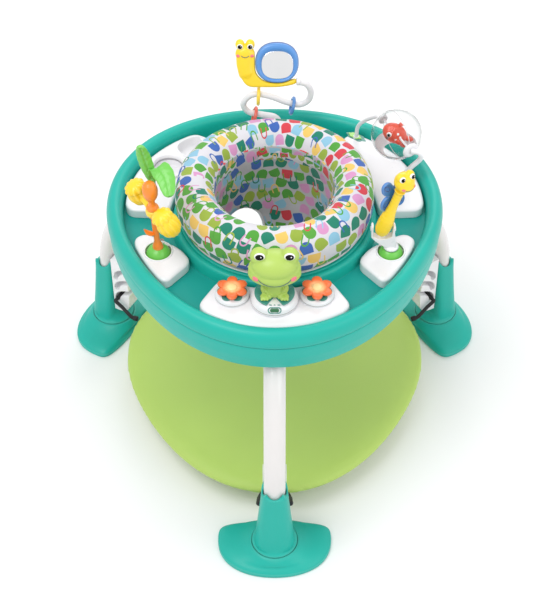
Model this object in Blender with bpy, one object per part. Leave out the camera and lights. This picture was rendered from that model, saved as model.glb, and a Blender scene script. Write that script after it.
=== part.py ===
"""Activity jumper: a round toy tray on three bowed legs, with a turning padded seat and a sprung bounce mat.

Metres, +Z up. The model is built about the seat's vertical axis, with the front leg towards -Y, under an
empty that moves it so that the origin is the middle of its footprint. Lengths along a leg or a station are
given as (radius from the seat axis, distance sideways, height) and turned to the azimuth where they belong.
"""

import math

import bmesh
import bpy
from mathutils import Vector

GAP = 0.0003  # between pieces that touch
TURN = 2 * math.pi

# Tray: a rounded triangle with a lobe over each leg
LEGS = {"front": -90.0, "right": 30.0, "left": 150.0}  # azimuths in degrees
TRAY_R = 0.3035  # mean radius at the seam between the two shells
TRAY_BULGE = 0.0005  # the rim's widest line stands this far proud of the seam
TRAY_LOBE = 0.040  # share of the radius by which the outline swells over a leg
TRAY_STEPS = 44
WALL = 0.003
SEAM_Z = 0.468
CREST_Z = 0.500
SKIRT_Z = 0.411
TROUGH_Z = 0.466
FLOOR_Z = 0.430  # underside of the lower shell's floor
TROUGH_IN = 0.185
TROUGH_OUT = 0.273
TILE_TOP = 0.487  # top of the white toy stations
TILE_SOFTEN = 0.005  # rounding of their top edge
TILE_IN = 0.188
TILE_OUT = 0.2695

# Seat
SEAT_STEPS = 30
RING_R = 0.1665  # outside of the ring that turns in the tray
DONUT_R, DONUT_Z = 0.143, 0.5378  # middle of the padded rim's section
DONUT_A, DONUT_B = 0.034, 0.042  # its half width and half height
SLING_FRONT = 167.0  # azimuth that the seat faces
LEG_HOLE_SPREAD = 40.0  # degrees to each side of it
LEG_HOLE_R = 0.038

# Legs
FOOT_R = 0.371  # radius of the widest line across a foot
FOOT_WIDE, FOOT_OUT, FOOT_IN = 0.106, 0.084, 0.0375
PEDESTAL_R = 0.3895
COLLAR_R = 0.0417  # round base of the pedestal
SOCKET_Z = 0.0240  # floor of the foot's socket for it
COLUMN_IN, COLUMN_OUT, COLUMN_HALF = 0.3697, 0.4185, 0.0305
COLUMN_TAPER = ((0.054, 1.03), (0.100, 0.95), (0.155, 0.80), (0.176, 0.77), (0.205, 0.73))  # share of its size at a height
TUBE_R = 0.390
TUBE_HALF_WIDE, TUBE_HALF_THICK = 0.0195, 0.0165
BOW_R = 0.2705  # bow of the tube's centre line
BOW_Z = 0.170
BOW_ANGLE = 52.0
TUBE_TOP_Z = 0.441
SLOT_R = 0.3600
SLOT_Z = (0.099, 0.1285, 0.158)
CORD_R = 0.004
RIM_STEPS = 20  # points round a foot, a pedestal and the snail's shell

# Mat
MAT_R, MAT_LOBE = 0.297, 0.016
MAT_TOP, MAT_BOTTOM = 0.075, 0.053
MAT_STEPS = 30

# Toy stations
STALK_AZ, DRAGONFLY_AZ, GLOBE_AZ, SNACK_AZ, LOOP_AZ, CONSOLE_AZ = -152.3, -27.7, 30.0, 150.0, 90.0, -90.0
DOME_BALL_R, DOME_BALL_Z = 0.0225, 0.4775  # ball of a toy's green dome, which turns in a hole in its tile
DOME_TOP = DOME_BALL_Z + DOME_BALL_R

# Console with the frog and two flower buttons: domes as (radius, z)
FROG_XY = (0.0, -0.2184)
FROG_DOME = [(0.041, 0.480), (0.041, 0.488), (0.0395, 0.494), (0.036, 0.500), (0.030, 0.5045), (0.026, 0.5058)]
FLOWER_DOME = [(0.030, 0.480), (0.030, 0.488), (0.0285, 0.4925), (0.025, 0.4960), (0.020, 0.4975)]
FLOWER_XY = {"left": (-0.0725, -0.2065), "right": (0.0725, -0.2065)}
FLOWER_STEM_R = 0.0145
PETAL_STEPS = 24
SWITCH_AT = Vector((0, -0.2544, 0.4995))
SWITCH_OUT = Vector((0, -0.74, 0.67)).normalized()
EYE_R = 0.0145

# Stalk with a spinner
STALK_XY = (-0.2049, -0.0985)
STALK_LEAN = math.radians(3.0)
STALK_OUT = Vector((*STALK_XY, 0)).normalized()
STALK_AXIS = (STALK_OUT * math.sin(STALK_LEAN) + Vector((0, 0, math.cos(STALK_LEAN)))).normalized()
STALK_FOOT = Vector((*STALK_XY, DOME_TOP + GAP))
HUB_FROM, HUB_TO = 0.0787, 0.0912  # along the stalk
LOBE_REACH, LOBE_RISE = 0.049, 0.009  # middle of a lobe from the middle of the hub
LOBE_WAY = Vector((-0.56, 0.83, 0)).normalized()

# Dragonfly
DRAGONFLY_XY = (0.2044, -0.0985)
FORK_AT = Vector((0.1870, -0.0985, 0.5400))  # where it nods in its clip
DRAGONFLY_HEAD = Vector((0.2190, -0.0985, 0.6511))
DRAGONFLY_FACE = Vector((0.5, -0.866, 0))  # it looks to its left front

# Globe
GLOBE_AT = Vector((0.2213, 0.115, 0.575))
GLOBE_R = 0.0466
GLOBE_AXIS = Vector((0.46, -0.89, 0)).normalized()
GLOBE_HOLE_R = 0.006

# Bent tube with rings, and the snail on its end
LOOP_Y = 0.235
LOOP_R = 0.0058
LOOP_END = Vector((0.0440, LOOP_Y, 0.6015))
LOOP_ROUTE = [  # (x, z) of the bent tube, from its tile to the snail's tail
    (0.010, TILE_TOP + GAP), (0.0095, 0.502), (0.000, 0.5175), (-0.024, 0.5235), (-0.0480, 0.5295), (-0.0590, 0.5480),
    (-0.0480, 0.5670), (-0.0300, 0.5725), (-0.0040, 0.5655), (0.0220, 0.5535), (0.0460, 0.5475), (0.0635, 0.5585),
    (0.0675, 0.5790), (0.0590, 0.5960), (LOOP_END.x, LOOP_END.z),
]
RING_SPOTS = {"red": 7, "yellow": 14, "blue": 19}  # points along the tube
RING_HANG = 0.0050  # how far a ring's centre hangs below the tube's
RING_MEAN_R, RING_THICK = 0.0149, 0.0031
SNAIL_AT = Vector((0, LOOP_Y, 0.5921))
SNAIL_UP = Vector((0, math.sin(math.radians(25)), math.cos(math.radians(25))))
SNAIL_FACE = Vector((0, -SNAIL_UP.z, SNAIL_UP.y))

# Middle of the footprint, which goes to the origin
FOOTPRINT_SHIFT = (FOOT_R + FOOT_OUT - (TRAY_R + TRAY_BULGE) * (1 - TRAY_LOBE)) / 2

COLOURS = {  # base colour, roughness
    "teal": ((0.03, 0.48, 0.42), 0.35),
    "teal_dark": ((0.01, 0.20, 0.16), 0.45),
    "white": ((0.86, 0.85, 0.86), 0.35),
    "tube": ((0.74, 0.71, 0.69), 0.30),
    "cord": ((0.012, 0.012, 0.012), 0.8),
    "lime": ((0.45, 0.65, 0.14), 0.7),
    "fabric": ((0.80, 0.78, 0.82), 0.9),
    "frog": ((0.50, 0.68, 0.12), 0.4),
    "orange": ((0.90, 0.22, 0.04), 0.4),
    "carrot": ((0.90, 0.30, 0.02), 0.4),
    "leaf": ((0.16, 0.58, 0.08), 0.4),
    "yellow": ((0.95, 0.68, 0.02), 0.4),
    "blue": ((0.06, 0.25, 0.65), 0.4),
    "red": ((0.75, 0.07, 0.03), 0.4),
    "clear": ((0.90, 0.95, 0.97), 0.05),
    "mirror": ((0.85, 0.86, 0.88), 0.05),
    "steel": ((0.55, 0.55, 0.56), 0.3),
    "board": ((0.02, 0.22, 0.08), 0.5),
    "black": ((0.02, 0.02, 0.02), 0.5),
}


def clear_scene():
    for obj in list(bpy.data.objects):
        bpy.data.objects.remove(obj)


def make_materials():
    made = {}
    for name, (colour, roughness) in COLOURS.items():
        material = bpy.data.materials.new(name)
        material.use_nodes = True
        shader = material.node_tree.nodes["Principled BSDF"]
        shader.inputs["Base Color"].default_value = (*colour, 1)
        shader.inputs["Roughness"].default_value = roughness
        shader.inputs["Metallic"].default_value = 1.0 if name in ("mirror", "steel") else 0.0
        made[name] = material
    return made


clear_scene()
MATERIALS = make_materials()
ROOT = bpy.data.objects.new("assembly", None)
bpy.context.scene.collection.objects.link(ROOT)
ROOT.location = (0, FOOTPRINT_SHIFT, 0)


def polar(radius, degrees, z=0.0):
    a = math.radians(degrees)
    return Vector((radius * math.cos(a), radius * math.sin(a), z))


def local(azimuth, r, t, z):
    """The point at radius r, t to the left of the azimuth's line, and height z."""
    out = polar(1, azimuth)
    return out * r + Vector((-out.y, out.x, 0)) * t + Vector((0, 0, z))


def lobe(theta):
    """1 over a leg, -1 midway between two legs."""
    return math.cos(3 * (theta + math.pi / 2))


def make(name, bm, material, origin=(0, 0, 0)):
    bmesh.ops.recalc_face_normals(bm, faces=bm.faces)
    mesh = bpy.data.meshes.new(name)
    bmesh.ops.translate(bm, verts=bm.verts, vec=-Vector(origin))
    bm.to_mesh(mesh)
    bm.free()
    mesh.shade_smooth()
    mesh.set_sharp_from_angle(angle=math.radians(35))
    obj = bpy.data.objects.new(name, mesh)
    obj.data.materials.append(MATERIALS[material])
    obj.parent = ROOT
    obj.location = origin
    bpy.context.scene.collection.objects.link(obj)
    return obj


def loft(rings, close=False, bm=None):
    """A skin over rings of as many points each, capped at its two ends, or closed on itself."""
    bm = bm or bmesh.new()
    loops = [[bm.verts.new(p) for p in ring] for ring in rings]
    count = len(loops[0])
    pairs = list(zip(loops, loops[1:]))
    if close:
        pairs.append((loops[-1], loops[0]))
    for a, b in pairs:
        for i in range(count):
            j = (i + 1) % count
            bm.faces.new((a[i], a[j], b[j], b[i]))
    if not close:
        bm.faces.new(loops[0])
        bm.faces.new(loops[-1])
    return bm


def circle(centre, radius, steps, axis=(0, 0, 1)):
    axis = Vector(axis).normalized()
    side = axis.orthogonal().normalized() if abs(axis.z) < 0.999 else Vector((1, 0, 0))
    other = axis.cross(side)
    return [
        Vector(centre)
        + side * radius * math.cos(TURN * i / steps)
        + other * radius * math.sin(TURN * i / steps)
        for i in range(steps)
    ]


def turned(centre, profile, steps=20, axis=(0, 0, 1)):
    """A solid of circles, from a list of (radius, distance along the axis), capped at both ends."""
    axis = Vector(axis).normalized()
    return loft([circle(Vector(centre) + axis * h, r, steps, axis) for r, h in profile])


def turned_ring(centre, profile, steps=24, axis=(0, 0, 1)):
    """As turned, but the profile is closed on itself, which leaves a hole in the middle."""
    axis = Vector(axis).normalized()
    rings = [circle(Vector(centre) + axis * h, r, steps, axis) for r, h in profile]
    return loft(rings, close=True)


def lobed_ring(profile, steps):
    """A ring round the seat axis, from a closed profile of (mean radius, z, share of the tray's lobes)."""
    rings = []
    for r, z, w in profile:
        ring = []
        for i in range(steps):
            theta = TURN * i / steps
            reach = r * (1 + TRAY_LOBE * w * lobe(theta))
            ring.append((reach * math.cos(theta), reach * math.sin(theta), z))
        rings.append(ring)
    return loft(rings, close=True)


def ball(centre, half, steps, rings):
    """An ellipsoid with half sizes (x, y, z), as circles with a small flat at each pole."""
    made = []
    for k in range(rings + 1):
        phi = math.pi * (0.06 + 0.88 * k / rings)
        ring = []
        for i in range(steps):
            a = TURN * i / steps
            p = Vector((
                half[0] * math.sin(phi) * math.cos(a),
                half[1] * math.sin(phi) * math.sin(a),
                -half[2] * math.cos(phi),
            ))
            ring.append(Vector(centre) + p)
        made.append(ring)
    return loft(made)


def smooth_path(points):
    """Catmull-Rom through the points, with one more point in each span."""
    pts = [Vector(p) for p in points]
    pts = [2 * pts[0] - pts[1]] + pts + [2 * pts[-1] - pts[-2]]
    out = []
    for a, b, c, d in zip(pts, pts[1:], pts[2:], pts[3:]):
        out += [b, (9 * (b + c) - a - d) / 16]
    out.append(pts[-2])
    return out


def sweep(path, half_wide, half_thick, steps=10, wide=(0, 0, 1), taper=None):
    """An oval tube along a path. wide is the direction that half_wide is measured in, as near as it can be."""
    rings = []
    for i, p in enumerate(path):
        along = (path[min(i + 1, len(path) - 1)] - path[max(i - 1, 0)]).normalized()
        thick = along.cross(Vector(wide)).normalized()
        side = thick.cross(along).normalized()
        k = taper(i / (len(path) - 1)) if taper else 1
        rings.append([
            p
            + side * k * half_wide * math.cos(TURN * j / steps)
            + thick * k * half_thick * math.sin(TURN * j / steps)
            for j in range(steps)
        ])
    return loft(rings)


def rounded(corners, arc=3, longest=0.03):
    """A closed outline with rounded corners, from (u, v, corner radius). Long edges get points in between."""
    points = []
    count = len(corners)
    for i, (u, v, radius) in enumerate(corners):
        here = Vector((u, v))
        before = (Vector(corners[i - 1][:2]) - here).normalized()
        after = (Vector(corners[(i + 1) % count][:2]) - here).normalized()
        half = before.angle(after) / 2
        back = radius / math.tan(half)
        start, end = here + before * back, here + after * back
        centre = here + (before + after).normalized() * radius / math.sin(half)
        for k in range(arc + 1):
            toward = (start - centre).lerp(end - centre, k / arc).normalized()
            points.append(centre + toward * radius)
    filled = []
    for a, b in zip(points, points[1:] + points[:1]):
        parts = max(1, math.ceil((b - a).length / longest))
        filled += [a.lerp(b, k / parts) for k in range(parts)]
    return filled


def inset(outline, distance):
    """The outline moved inwards. It runs anticlockwise."""
    made = []
    for i, p in enumerate(outline):
        along = outline[(i + 1) % len(outline)] - outline[i - 1]
        made.append(p + Vector((-along.y, along.x)).normalized() * distance)
    return made


def tile_point(azimuth, p, z):
    """A station's outline point (sideways, radius) on the tray, following its lobes towards the rim."""
    middle = (TILE_IN + TILE_OUT) / 2
    theta = math.radians(azimuth) + p.x / middle
    w = (p.y - TILE_IN) / (TILE_OUT - TILE_IN)
    reach = p.y * (1 + TRAY_LOBE * w * lobe(theta))
    return Vector((reach * math.cos(theta), reach * math.sin(theta), z))


def tile(azimuth, outline):
    """A station: an outline on the tray with a softened top edge."""
    soft = TILE_SOFTEN
    levels = ((0, TROUGH_Z + GAP), (0, TILE_TOP - soft), (0.3 * soft, TILE_TOP - 0.3 * soft), (soft, TILE_TOP))
    return loft([[tile_point(azimuth, p, z) for p in inset(outline, d)] for d, z in levels])


def tile_outline(half_wide, corner):
    return rounded([
        (-half_wide, TILE_IN, corner), (half_wide, TILE_IN, corner),
        (half_wide, TILE_OUT, corner), (-half_wide, TILE_OUT, corner),
    ])


def slab(name, material, corners, bottom, top):
    """A flat plate over an outline of points (x, y)."""
    make(name, loft([[(x, y, z) for x, y in corners] for z in (bottom, top)]), material)


def cut(obj, cutter, operation="DIFFERENCE"):
    """Uses a helper object on another, and hides the helper."""
    cutter.hide_render = True
    cutter.display_type = "WIRE"
    modifier = obj.modifiers.new(cutter.name, "BOOLEAN")
    modifier.operation = operation
    modifier.object = cutter


# ---------------------------------------------------------------- tray and seat


def build_tray():
    top = [  # up the outside from the seam, over the crest, down into the trough, over the lip and back
        (TRAY_R, SEAM_Z, 1), (TRAY_R + TRAY_BULGE, 0.480, 1), (TRAY_R - 0.005, 0.4935, 1),
        (0.2900, CREST_Z, 1), (0.2790, 0.4970, 1), (0.2745, 0.488, 1), (TROUGH_OUT, TROUGH_Z, 1),
        (TROUGH_IN, TROUGH_Z, 0), (0.1820, 0.487, 0), (0.1785, 0.490, 0), (0.1700, 0.490, 0), (0.1690, 0.470, 0),
        (0.1720, 0.470, 0), (0.1795, TROUGH_Z - WALL, 0), (0.2765, TROUGH_Z - WALL, 1),
        (0.2820, 0.4935, 1), (TRAY_R - 0.008, 0.4900, 1), (TRAY_R - WALL, SEAM_Z, 1),
    ]
    make("tray_top", lobed_ring(top, TRAY_STEPS), "teal")
    seam = SEAM_Z - GAP
    base = [  # down the skirt, up its inside, along the floor and up the inner wall
        (TRAY_R - 0.0012, seam, 1), (TRAY_R - 0.003, 0.440, 1), (0.2955, 0.418, 1), (0.2925, SKIRT_Z, 1),
        (0.2890, SKIRT_Z, 1), (0.2935, FLOOR_Z, 1), (0.178, FLOOR_Z, 0), (0.178, 0.461, 0),
        (0.1812, 0.461, 0), (0.1812, FLOOR_Z + WALL, 0), (0.296, FLOOR_Z + WALL, 1), (TRAY_R - 0.0052, seam, 1),
    ]
    tray_base = make("tray_base", lobed_ring(base, TRAY_STEPS), "teal")
    door = rounded([(0.040, -0.242, 0.004), (0.112, -0.242, 0.004), (0.112, -0.200, 0.004), (0.040, -0.200, 0.004)])
    below, above = FLOOR_Z - 0.004, FLOOR_Z + WALL + 0.004
    opening = loft([[(p.x, p.y, z) for p in inset(door, -GAP)] for z in (below, above)])
    cut(tray_base, make("door_opening", opening, "black"))
    slab("battery_door", "teal", [tuple(p) for p in door], FLOOR_Z, FLOOR_Z + WALL)
    return tray_base


def build_electronics():
    board = [(0.032, -0.245), (0.115, -0.245), (0.115, -0.200), (0.032, -0.200)]
    slab("circuit_board", "board", board, 0.4555, 0.4571)
    speaker = [(0.012, 0), (0.019, 0.0015), (0.020, 0.004), (0.011, 0.009), (0.011, 0.014)]
    make("speaker", turned((-0.066, -0.222, 0.4345), speaker, 20), "black")


def build_seat():
    ring = [
        (0.1560, 0.4905), (0.1560, 0.4950), (0.1775, 0.4950), (0.1785, 0.4905), (RING_R, 0.4903),
        (RING_R, 0.4280), (0.1750, 0.4285), (0.1750, 0.4255), (0.1610, 0.4255),
    ]
    make("seat_ring", turned_ring((0, 0, 0), ring, SEAT_STEPS), "white")
    donut = [
        (DONUT_R + DONUT_A * math.cos(TURN * k / 10), DONUT_Z + DONUT_B * math.sin(TURN * k / 10))
        for k in range(10)
    ]
    make("seat_donut", turned_ring((0, 0, 0), donut, 36), "fabric")
    outside = [
        (0.030, 0.3135), (0.070, 0.320), (0.098, 0.341), (0.113, 0.372), (0.136, 0.440), (0.1555, 0.489),
    ]
    inside = [(r - 0.0025, z + 0.0018) for r, z in reversed(outside)]
    sling = make("seat_sling", turned((0, 0, 0), outside + inside, SEAT_STEPS), "fabric")
    for name, side in (("leg_hole_a", -1), ("leg_hole_b", 1)):
        out = polar(1, SLING_FRONT + side * LEG_HOLE_SPREAD)
        aim = (out + Vector((0, 0, -0.35))).normalized()
        start = out * 0.070 + Vector((0, 0, 0.378))
        cut(sling, make(name, turned(start, [(LEG_HOLE_R, 0), (LEG_HOLE_R, 0.09)], 16, aim), "black"))


# ---------------------------------------------------------------- legs, mat and cords


def foot_outline(azimuth, scale, z):
    """The foot's plan: a flat side towards the middle and a round one outwards."""
    ring = []
    for i in range(RIM_STEPS):
        a = TURN * i / RIM_STEPS
        c, s = math.cos(a), math.sin(a)
        power = 0.85 if c > 0 else 0.42
        depth = FOOT_OUT if c > 0 else FOOT_IN
        u = math.copysign(abs(c) ** power, c) * depth
        v = math.copysign(abs(s) ** (0.95 if c > 0 else 0.75), s) * FOOT_WIDE
        ring.append(local(azimuth, FOOT_R + u * scale, v * scale, z))
    return ring


def collar(azimuth, radius, z):
    """A circle about the pedestal's axis."""
    middle = local(azimuth, PEDESTAL_R, 0, z)
    return [middle + polar(radius, azimuth + 360 * i / RIM_STEPS) for i in range(RIM_STEPS)]


def build_foot(side, azimuth):
    rings = [foot_outline(azimuth, s, z) for s, z in ((0.985, 0), (1, 0.002), (1, 0.0070), (0.970, 0.0105))]
    blend = foot_outline(azimuth, 0.80, 0.0170)
    rings.append([p.lerp(q, 0.25) for p, q in zip(blend, collar(azimuth, 0.060, 0.0225))])
    socket = COLLAR_R + GAP
    rings += [collar(azimuth, r, z) for r, z in ((0.0465, 0.0295), (socket, 0.0310), (socket, SOCKET_Z))]
    make(f"foot_{side}", loft(rings), "teal")


def taper_at(z):
    for (z0, a), (z1, b) in zip(COLUMN_TAPER, COLUMN_TAPER[1:]):
        if z <= z1:
            return a + (b - a) * max(0.0, z - z0) / (z1 - z0)
    return COLUMN_TAPER[-1][1]


def column_ring(azimuth, grow, heights):
    """The pedestal's column in plan, with its outer corners well rounded. heights gives z from where on the ring it is."""
    middle, deep = (COLUMN_IN + COLUMN_OUT) / 2, (COLUMN_OUT - COLUMN_IN) / 2
    ring = []
    for i in range(RIM_STEPS):
        a = TURN * i / RIM_STEPS
        c, s = math.cos(a), math.sin(a)
        power = 0.75 if c > 0 else 0.45
        u = math.copysign(abs(c) ** power, c) * deep
        v = math.copysign(abs(s) ** 0.6, s) * COLUMN_HALF
        outward = u > -deep * 0.9
        z = heights(c, s)
        share = taper_at(z)
        if u > 0:
            u *= share
        r = middle + u + (grow if outward else 0) * (u + deep) / (2 * deep)
        ring.append(local(azimuth, r, v * share * (1 + grow / COLUMN_HALF), z))
    return ring


def mouth_height(c, s):
    """The height of the pedestal's upper edge: low in the middle of each face, high at the corners and inside."""
    return 0.1770 + 0.0115 * (2 * abs(c * s)) ** 1.3 + 0.006 * max(0.0, -c)


def build_pedestal(side, azimuth, tube_cutter):
    low, high = SOCKET_Z + GAP, 0.0325
    rings = [collar(azimuth, r, z) for r, z in ((COLLAR_R, low), (COLLAR_R, high), (COLLAR_R - 0.0015, 0.0345))]
    column = column_ring(azimuth, 0.0045, lambda c, s: 0.046)
    rings.append([p.lerp(q, 0.6) for p, q in zip(collar(azimuth, COLLAR_R - 0.004, 0.038), column)])
    rings.append(column_ring(azimuth, 0.0035, lambda c, s: 0.054))
    rings.append(column_ring(azimuth, 0.0015, lambda c, s: 0.100))
    rings.append(column_ring(azimuth, 0.0, lambda c, s: 0.160))
    rings.append(column_ring(azimuth, -0.0005, mouth_height))
    bm = loft(rings[:-1])
    # The mouth dips between its four corners, so its cap is a fan about its middle and not one flat face.
    bm.faces.ensure_lookup_table()
    bmesh.ops.delete(bm, geom=[bm.faces[-1]], context="FACES_ONLY")
    bm.verts.ensure_lookup_table()
    last = [bm.verts[i] for i in range(len(bm.verts) - RIM_STEPS, len(bm.verts))]
    rim = [bm.verts.new(p) for p in rings[-1]]
    middle = bm.verts.new(local(azimuth, (COLUMN_IN + COLUMN_OUT) / 2, 0, 0.184))
    for i in range(RIM_STEPS):
        j = (i + 1) % RIM_STEPS
        bm.faces.new((last[i], last[j], rim[j], rim[i]))
        bm.faces.new((rim[i], rim[j], middle))
    cut(make(f"pedestal_{side}", bm, "teal"), tube_cutter)


def slot_outline(end_r, end_z, half):
    """A hook slot in the block: from a round end, up and inwards to an open mouth."""
    spine = smooth_path([(end_r, end_z, 0), (end_r - 0.004, end_z + 0.012, 0), (end_r - 0.017, end_z + 0.022, 0),
                         (end_r - 0.040, end_z + 0.031, 0)])
    left, right = [], []
    for i, p in enumerate(spine):
        along = (spine[min(i + 1, len(spine) - 1)] - spine[max(i - 1, 0)]).normalized()
        side = Vector((-along.y, along.x, 0)) * half
        left.append(p + side)
        right.append(p - side)
    away = (spine[0] - spine[1]).normalized()
    side = Vector((-away.y, away.x, 0))
    end = [spine[0] + (away * math.sin(a) + side * math.cos(a)) * half for a in (0.8, 1.57, 2.34)]
    return right[::-1] + end + left


def build_hook_block(side, azimuth):
    outer = COLUMN_IN - GAP
    outline = [
        (outer, 0.064), (0.341, 0.070), (0.333, 0.080), (0.330, 0.100), (0.3305, 0.140), (0.336, 0.172),
        (0.345, 0.196), (0.354, 0.206), (outer, 0.206),
    ]
    middle = Vector((0.352, 0.135))
    rings = []
    for t, less in ((-0.0215, 0.002), (-0.0195, 0), (0.0195, 0), (0.0215, 0.002)):
        ring = []
        for r, z in outline:
            pull = (middle - Vector((r, z))).normalized() * less
            ring.append(local(azimuth, min(r + pull.x, outer), t, z + pull.y))
        rings.append(ring)
    block = make(f"hook_block_{side}", loft(rings), "white")
    for number, z in enumerate(SLOT_Z, 1):
        plan = slot_outline(SLOT_R, z, CORD_R + 0.0014)
        cutter = loft([[local(azimuth, p.x, t, p.y) for p in plan] for t in (-0.03, 0.03)])
        cut(block, make(f"slot_{side}_{number}", cutter, "black"))


def tube_path(azimuth, bottom, extra=0.0):
    """The leg tube's centre line: upright in the pedestal, bowed inwards, then straight into the tray."""
    points = [(TUBE_R, bottom), (TUBE_R, (bottom + BOW_Z) / 2)]
    steps = 6
    for k in range(steps + 1):
        a = math.radians(BOW_ANGLE * k / steps)
        points.append((TUBE_R - BOW_R + BOW_R * math.cos(a), BOW_Z + BOW_R * math.sin(a)))
    a = math.radians(BOW_ANGLE)
    r, z = points[-1]
    run = (TUBE_TOP_Z - z) / math.cos(a) + extra
    points.append((r - run * math.sin(a), z + run * math.cos(a)))
    return [local(azimuth, r, 0, z) for r, z in points]


def build_leg(side, azimuth, tray_base):
    across = local(azimuth, 0, 1, 0)
    path = tube_path(azimuth, 0.115)
    tube = make(f"leg_tube_{side}", sweep(path, TUBE_HALF_WIDE, TUBE_HALF_THICK, 12, across), "tube")
    grow = 0.0005
    hole = sweep(tube_path(azimuth, 0.115 - GAP, GAP), TUBE_HALF_WIDE + grow, TUBE_HALF_THICK + grow, 12, across)
    cutter = make(f"tube_hole_{side}", hole, "black")
    build_pedestal(side, azimuth, cutter)
    boss_path = tube_path(azimuth, 0.115, 0.004)
    start = boss_path[-1].lerp(boss_path[-2], 0.62)
    boss = sweep([start, boss_path[-1]], TUBE_HALF_WIDE + 0.0045, TUBE_HALF_THICK + 0.0045, 12, across)
    cut(tray_base, make(f"socket_{side}", boss, "teal"), "UNION")
    cut(tray_base, cutter)
    # A bolt up through the socket's underside into the tube
    along = (path[-1] - path[-2]).normalized()
    down = along.cross(across).normalized()
    if down.z > 0:
        down = -down
    at = path[-1].lerp(path[-2], 0.42)
    face = TUBE_HALF_THICK + 0.0050
    shank = [(0.0022, -0.004), (0.0022, face), (0.0048, face), (0.0048, face + 0.002), (0.0030, face + 0.0032)]
    make(f"leg_bolt_{side}", turned(at, shank, 12, down), "steel")
    bore = make(f"bolt_hole_{side}", turned(at, [(0.0026, -0.0045), (0.0026, 0.030)], 12, down), "black")
    cut(tube, bore)
    cut(tray_base, bore)


def build_mat():
    levels = ((0.75, MAT_BOTTOM + 0.001), (0.955, MAT_BOTTOM), (0.99, MAT_BOTTOM + 0.006), (1.0, 0.065),
              (0.985, MAT_TOP - 0.003), (0.94, MAT_TOP), (0.70, MAT_TOP - 0.004), (0.40, MAT_TOP - 0.010))
    rings = []
    for share, z in levels:
        ring = []
        for i in range(MAT_STEPS):
            theta = TURN * i / MAT_STEPS
            reach = (MAT_R + MAT_LOBE * lobe(theta)) * share
            ring.append((reach * math.cos(theta), reach * math.sin(theta), z))
        rings.append(ring)
    make("bounce_mat", loft(rings), "lime")


def build_bungee(side, azimuth):
    """An elastic loop: from the mat, through the lowest slot of the hook block, and back to the mat."""
    z = SLOT_Z[0]
    tip = MAT_R + MAT_LOBE + 0.0015
    half = [(tip, 0.0245, 0.0640), (0.3270, 0.0290, 0.0725), (0.3450, 0.0295, 0.0885),
            (SLOT_R - 0.0015, 0.0300, z - 0.0007), (SLOT_R, 0.0262, z), (SLOT_R, 0.0180, z)]
    points = half + [(SLOT_R, 0.0, z)] + [(r, -t, h) for r, t, h in reversed(half)]
    path = smooth_path([local(azimuth, *p) for p in points])
    make(f"bungee_{side}", sweep_round(path, CORD_R, 6), "cord")


def sweep_round(path, radius, steps=8):
    """A round tube along any path, with rings that don't twist."""
    along = (path[1] - path[0]).normalized()
    side = along.orthogonal().normalized()
    rings = []
    for i, p in enumerate(path):
        ahead = (path[min(i + 1, len(path) - 1)] - path[max(i - 1, 0)]).normalized()
        side = (side - ahead * side.dot(ahead)).normalized()
        other = ahead.cross(side)
        rings.append([
            p + (side * math.cos(TURN * j / steps) + other * math.sin(TURN * j / steps)) * radius
            for j in range(steps)
        ])
    return loft(rings)


# ---------------------------------------------------------------- toy stations

def build_dome(name, xy):
    low = -0.0075
    profile = []
    for k in range(6):
        h = low + (DOME_BALL_R * 0.985 - low) * k / 5
        profile.append((math.sqrt(DOME_BALL_R**2 - h * h), h))
    make(name, turned((*xy, DOME_BALL_Z), profile, 20), "leaf", (*xy, DOME_BALL_Z))


def cut_dome_hole(obj, name, xy):
    hole = turned((*xy, TROUGH_Z - 0.004), [(DOME_BALL_R + 0.0006, 0), (DOME_BALL_R + 0.0006, 0.030)], 20)
    cut(obj, make(name, hole, "black"))


def build_corner_station(name, azimuth, flip, xy):
    """A tile with one inner corner cut back, and the hole that its toy's dome turns in."""
    corners = [
        (-0.002, TILE_IN, 0.012), (0.050, TILE_IN, 0.014), (0.062, TILE_OUT, 0.017),
        (-0.052, TILE_OUT, 0.015), (-0.063, 0.236, 0.013),
    ]
    if flip:
        corners = [(-u, v, r) for u, v, r in reversed(corners)]
    obj = make(name, tile(azimuth, rounded(corners)), "white")
    cut_dome_hole(obj, f"{name}_hole", xy)


def switch_block(half_long, half_wide, inner, outer):
    along = Vector((1, 0, 0))
    across = SWITCH_OUT.cross(along)
    plan = rounded([(-half_long, -half_wide, 0.0025), (half_long, -half_wide, 0.0025),
                    (half_long, half_wide, 0.0025), (-half_long, half_wide, 0.0025)], 2, 0.1)
    return loft([[SWITCH_AT + SWITCH_OUT * h + along * p.x + across * p.y for p in plan] for h in (inner, outer)])


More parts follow.
